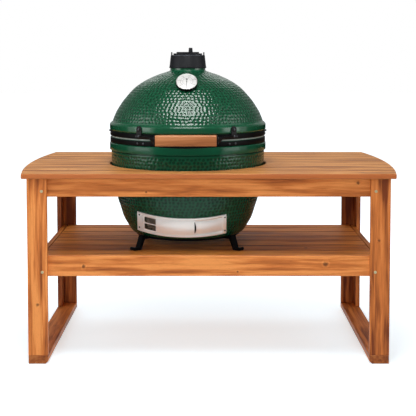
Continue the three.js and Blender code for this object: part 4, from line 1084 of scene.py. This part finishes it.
marks = []
for angle in range(0, SWEEP + 1, 10):
    half, inner = (0.8, 22) if angle % 50 == 0 else (0.5, 25)
    tick = oblong((-half, -29, FACE_TOP), (half, -inner, FACE_TOP + 0.25), 0.05)
    marks.append(turn(tick, "Z", -angle))
for i, angle in enumerate(range(0, SWEEP + 1, 50)):
    x, y = -35.5 * math.sin(math.radians(angle)), -35.5 * math.cos(math.radians(angle))
    marks.append(shift(letters(str(50 + 100 * i), 7), x, y, FACE_TOP + 0.25))
piece("gauge_marks", on_dial(joined(marks)), dial_ink, "lid", "dial_white")
circle = rounded([[18.6, 0], [19.1, 0], [19.1, 0.15], [18.6, 0.15]], 0.04, 1)
fine = [shift(turned(circle), z=FACE_TOP)]
for angle in range(0, SWEEP + 1, 10):
    fine.append(turn(oblong((-0.3, -18.6, FACE_TOP), (0.3, -15.6, FACE_TOP + 0.15), 0.04), "Z", -angle))
piece("gauge_inner_scale", on_dial(joined(fine)), grey_ink, "lid", "dial_white")
needle_outline = [(-0.5, 12), (-1.3, 0), (-0.45, -31), (0.45, -31), (1.3, 0), (0.5, 12)]
needle = prism(needle_outline, POINTER_LOW, POINTER_LOW + 0.8, 0.1)
hub = shift(button(2.6, 2, 0.6), z=POINTER_LOW)
blob = shift(button(3.9, 0.9, 0.3), y=13, z=POINTER_LOW)
piece("gauge_pointer", on_dial(joined([needle, hub, blob])), dial_ink, "pointer", "black_iron",
       "thermometer_pointer")

# %% [markdown]
# ## Inside the egg
#
# The fire box and the fire ring are bare clay, and the cooking grid is welded steel rod. They show
# when the lid is open. A rod could be a curve with a round bevel, but as it is straight, two rings of
# points and two caps do.

# %% Fire box, fire ring and cooking grid
fire_ring = turned(rounded([[237, 721.6], [262, 721.6], [292, 839.6], [267, 839.6]], 3, 4), 180)
piece("clay_ring", fire_ring, clay, "table_and_base", "fired_clay", "fire_ring")
finish_node("fire_box", clay)
GRID_HEIGHT, GRID_RADIUS, GRID_STEPS = 843.9, 284, 12
HOOP_WIRE, ROD_WIRE = 4, 2.8  # radii


def rod(start, end, radius=ROD_WIRE, sides=16):
    """A straight round rod between two points: radius * (cos(a) side + sin(a) up) round each of them."""
    start, end = np.array(start, float), np.array(end, float)
    ahead = (end - start) / np.linalg.norm(end - start)
    side = np.cross(ahead, [0, 0, 1])
    side /= np.linalg.norm(side)
    up = np.cross(side, ahead)
    a = np.linspace(0, 2 * math.pi, sides, endpoint=False)[:, None]
    ring = radius * (np.cos(a) * side + np.sin(a) * up)
    return np.vstack([start + ring, end + ring]), capped(2, sides)


def half_chord(offset):
    """How far the hoop reaches each way at an offset from its middle: sqrt(radius^2 - offset^2)."""
    return math.sqrt(GRID_RADIUS ** 2 - offset ** 2)


a = np.linspace(0, 2 * math.pi, 16, endpoint=False)
hoop = np.column_stack([GRID_RADIUS + HOOP_WIRE * np.cos(a), GRID_HEIGHT + HOOP_WIRE * np.sin(a)])
rods = [turned(hoop, 180)]
step = 2 * GRID_RADIUS / GRID_STEPS
for x in (-GRID_RADIUS + i * step for i in range(1, GRID_STEPS)):
    rods.append(rod((x, -half_chord(x), GRID_HEIGHT), (x, half_chord(x), GRID_HEIGHT)))
for y in (-step, step):
    rods.append(rod((-half_chord(y), y, GRID_HEIGHT), (half_chord(y), y, GRID_HEIGHT)))
piece("steel_grid", joined(rods), stainless, "table_and_base", "stainless", "cooking_grid")

# %% [markdown]
# ## Studio
#
# The part stands on white paper that runs up into a white backdrop, in a room that is dark behind the
# camera, as product photographs are made. So polished faces show white from behind and from the floor
# near the part, and darkness from in front. The paper glows a little by itself for the camera, more so
# further away, which leaves only the soft shadow. AMBIENT is the plain light from all round, and ROOM
# and BACKDROP are what gloss shows in front of the part and behind it.

# %% Floor and world
FLOOR_GLOW, FAR_GLOW = 0.57, 0.97
bpy.ops.mesh.primitive_plane_add(size=60)
floor = bpy.context.object
floor.name = "studio_floor"
paper, tree, shader = material("White studio paper")
fill(tree, shader, {"Roughness": 0.9, "Base Color": (0.8, 0.8, 0.8, 1)})
rays = add(tree, "LightPath", out=None)
place = add(tree, "TexCoord", out="Object")
away = add(tree, "VectorMath LENGTH", add(tree, "VectorMath ADD", place, (0, 0.4, 0)))
lit = add(tree, "MapRange SMOOTHSTEP", away, 0.6, 2.2, FLOOR_GLOW, FAR_GLOW)
# For the camera the paper's diffuse is bluish, which cancels the warm light bounced onto it from the wood.
bounce_cancelling_diffuse = add(tree, "BsdfDiffuse", (0.62, 0.79, 0.9, 1))
both = add(tree, "AddShader", bounce_cancelling_diffuse, add(tree, "Emission", "#ffffff", lit))
shown = add(tree, "MixShader", rays["Is Camera Ray"], shader.outputs[0], both)
# For gloss the paper near the part is a white glow, fading out further away, in place of its reflection.
spread = add(tree, "VectorMath LENGTH", add(tree, "VectorMath MULTIPLY", place, (1.6, 1, 0)))
mirrored = add(tree, "Emission", "#ffffff", add(tree, "MapRange SMOOTHSTEP", spread, 1.9, 3.4, 1, 0))
pick = add(tree, "MixShader", rays["Is Glossy Ray"], shown, mirrored)
fill(tree, tree.nodes["Material Output"], {"Surface": pick})
floor.data.materials.append(paper)

AMBIENT, ROOM, BACKDROP = 0.26, 0.1, 0.35
world = bpy.data.worlds.new("Studio")
scene.world = world
world.use_nodes = True
tree = world.node_tree
rays = add(tree, "LightPath", out=None)
behind = add(tree, "SeparateXYZ", add(tree, "TexCoord", out="Generated"), out="Y")
mirror = add(tree, "MapRange SMOOTHSTEP", behind, 0.45, 0.95, ROOM, BACKDROP)
seen = add(tree, "Math MAXIMUM", rays["Is Camera Ray"], rays["Is Transmission Ray"])
level = add(tree, "Math MULTIPLY_ADD", seen, 1 - AMBIENT, AMBIENT)
extra = add(tree, "Math SUBTRACT", mirror, AMBIENT)
strength = add(tree, "Math MULTIPLY_ADD", extra, rays["Is Glossy Ray"], level)
fill(tree, tree.nodes["Background"], {"Color": "#ffffff", "Strength": strength})
print("floor", floor.name, "and world", world.name)

# %% [markdown]
# A highlight's shape and the level of light are set apart here: some lamps light the part and don't show
# in its gloss, and others show in its gloss alone. Above and in front, a round key lights the part, and
# a round softbox, dimmer in its middle as a folding one is, gives the dome its round highlight. Side
# gleams and a back gleam draw soft patches on the belly and the bands. Tall panels at the sides do
# both. Two fills near the camera light the fronts, and a panel above the back the boards' tops.

# %% Lamps
def lamp(name, place, aim, width, height, radiance, mirrored=True):
    """An area lamp at a place in metres, turned to aim at another: power = pi * area * radiance. A round
    one has no height, and one that isn't mirrored lights surfaces without showing in their gloss."""
    data = bpy.data.lights.new(name, "AREA")
    data.shape = "RECTANGLE" if height else "DISK"
    data.size = width
    area = math.pi * width ** 2 / 4
    if height:
        data.size_y = height
        area = width * height
    data.energy = math.pi * area * radiance
    made = bpy.data.objects.new(name, data)
    scene.collection.objects.link(made)
    made.location = place
    x, y, z = np.array(aim, float) - np.array(place, float)
    made.rotation_euler = (math.atan2(math.hypot(x, y), -z), 0, math.atan2(y, x) - math.pi / 2)
    made.visible_glossy = mirrored
    made.visible_camera = False
    return made


def gloss_only(light):
    """A lamp that shows in gloss and lights nothing else."""
    light.visible_diffuse = False
    return light


KEY_AIM = (-0.1, -0.1, 0.9)
lamp("round_key", (-0.1, -1.45, 3.1), KEY_AIM, 1.25, 0, 11, mirrored=False)
softbox = gloss_only(lamp("round_softbox", (-0.1, -1.42, 3.05), KEY_AIM, 1.9, 0, 16))
softbox.data.use_nodes = True
tree = softbox.data.node_tree
across = add(tree, "VectorMath SUBTRACT", add(tree, "NewGeometry", out="Parametric"), (0.5, 0.5, 0))
out = add(tree, "VectorMath LENGTH", add(tree, "VectorMath MULTIPLY", across, (1, 1, 0)))
middle = add(tree, "MapRange SMOOTHSTEP", out, 0.12, 0.24, 0.3, 1)
edge = add(tree, "MapRange SMOOTHSTEP", out, 0.26, 0.5, 1, 0)
fill(tree, tree.nodes["Emission"], {"Strength": add(tree, "Math MULTIPLY", middle, edge)})
gloss_only(lamp("back_gleam", (-0.1, 3.2, 3.0), (-0.1, 0, 1.1), 3.4, 1.0, 1.2))
for side in (-1, 1):
    gloss_only(lamp("side_gleam", (2.4 * side - 0.1, -1.2, 1.4), (-0.1, -0.1, 1.1), 1.2, 1.6, 2.2))
lamp("left_panel", (-2.55, -1.0, 1.5), (-0.1, -0.1, 1.2), 2.2, 2.9, 0.95)
lamp("right_panel", (2.35, -0.95, 1.5), (-0.1, -0.1, 1.2), 2.1, 2.9, 0.85)
lamp("front_fill", (-1.6, -4.2, 2.2), (0, 0, 0.6), 2.6, 2.0, 2.7, mirrored=False)
lamp("low_fill", (0.1, -3.8, 1.25), (0, 0, 0.5), 3.0, 0.8, 2.7, mirrored=False)
lamp("back_panel", (0, 2.4, 3.2), (0, 0, 0.9), 4.0, 1.6, 1.9, mirrored=False)

# %% [markdown]
# ## Camera
#
# The photograph keeps upright lines nearly upright, so its camera looks almost level and shifts its
# frame down. Here it tilts by 3.5 degrees and shifts by the rest. Its place, in metres, its lens, in
# millimetres, and its shift were fitted to the table's legs and top.

# %% Camera and finish
TILT, SENSOR, LENS = 3.5, 36, 84.61
SHIFT = (-0.0018, -0.2185)
camera = bpy.data.objects.new("camera", bpy.data.cameras.new("camera"))
scene.collection.objects.link(camera)
camera.location = (0, -4.461, 1.2777)
camera.rotation_euler = (math.radians(90 - TILT), 0, 0)
camera.data.sensor_width, camera.data.lens = SENSOR, LENS
camera.data.shift_x, camera.data.shift_y = SHIFT
camera.data.clip_end = 200
scene.camera = camera
scene.view_settings.view_transform = "Standard"
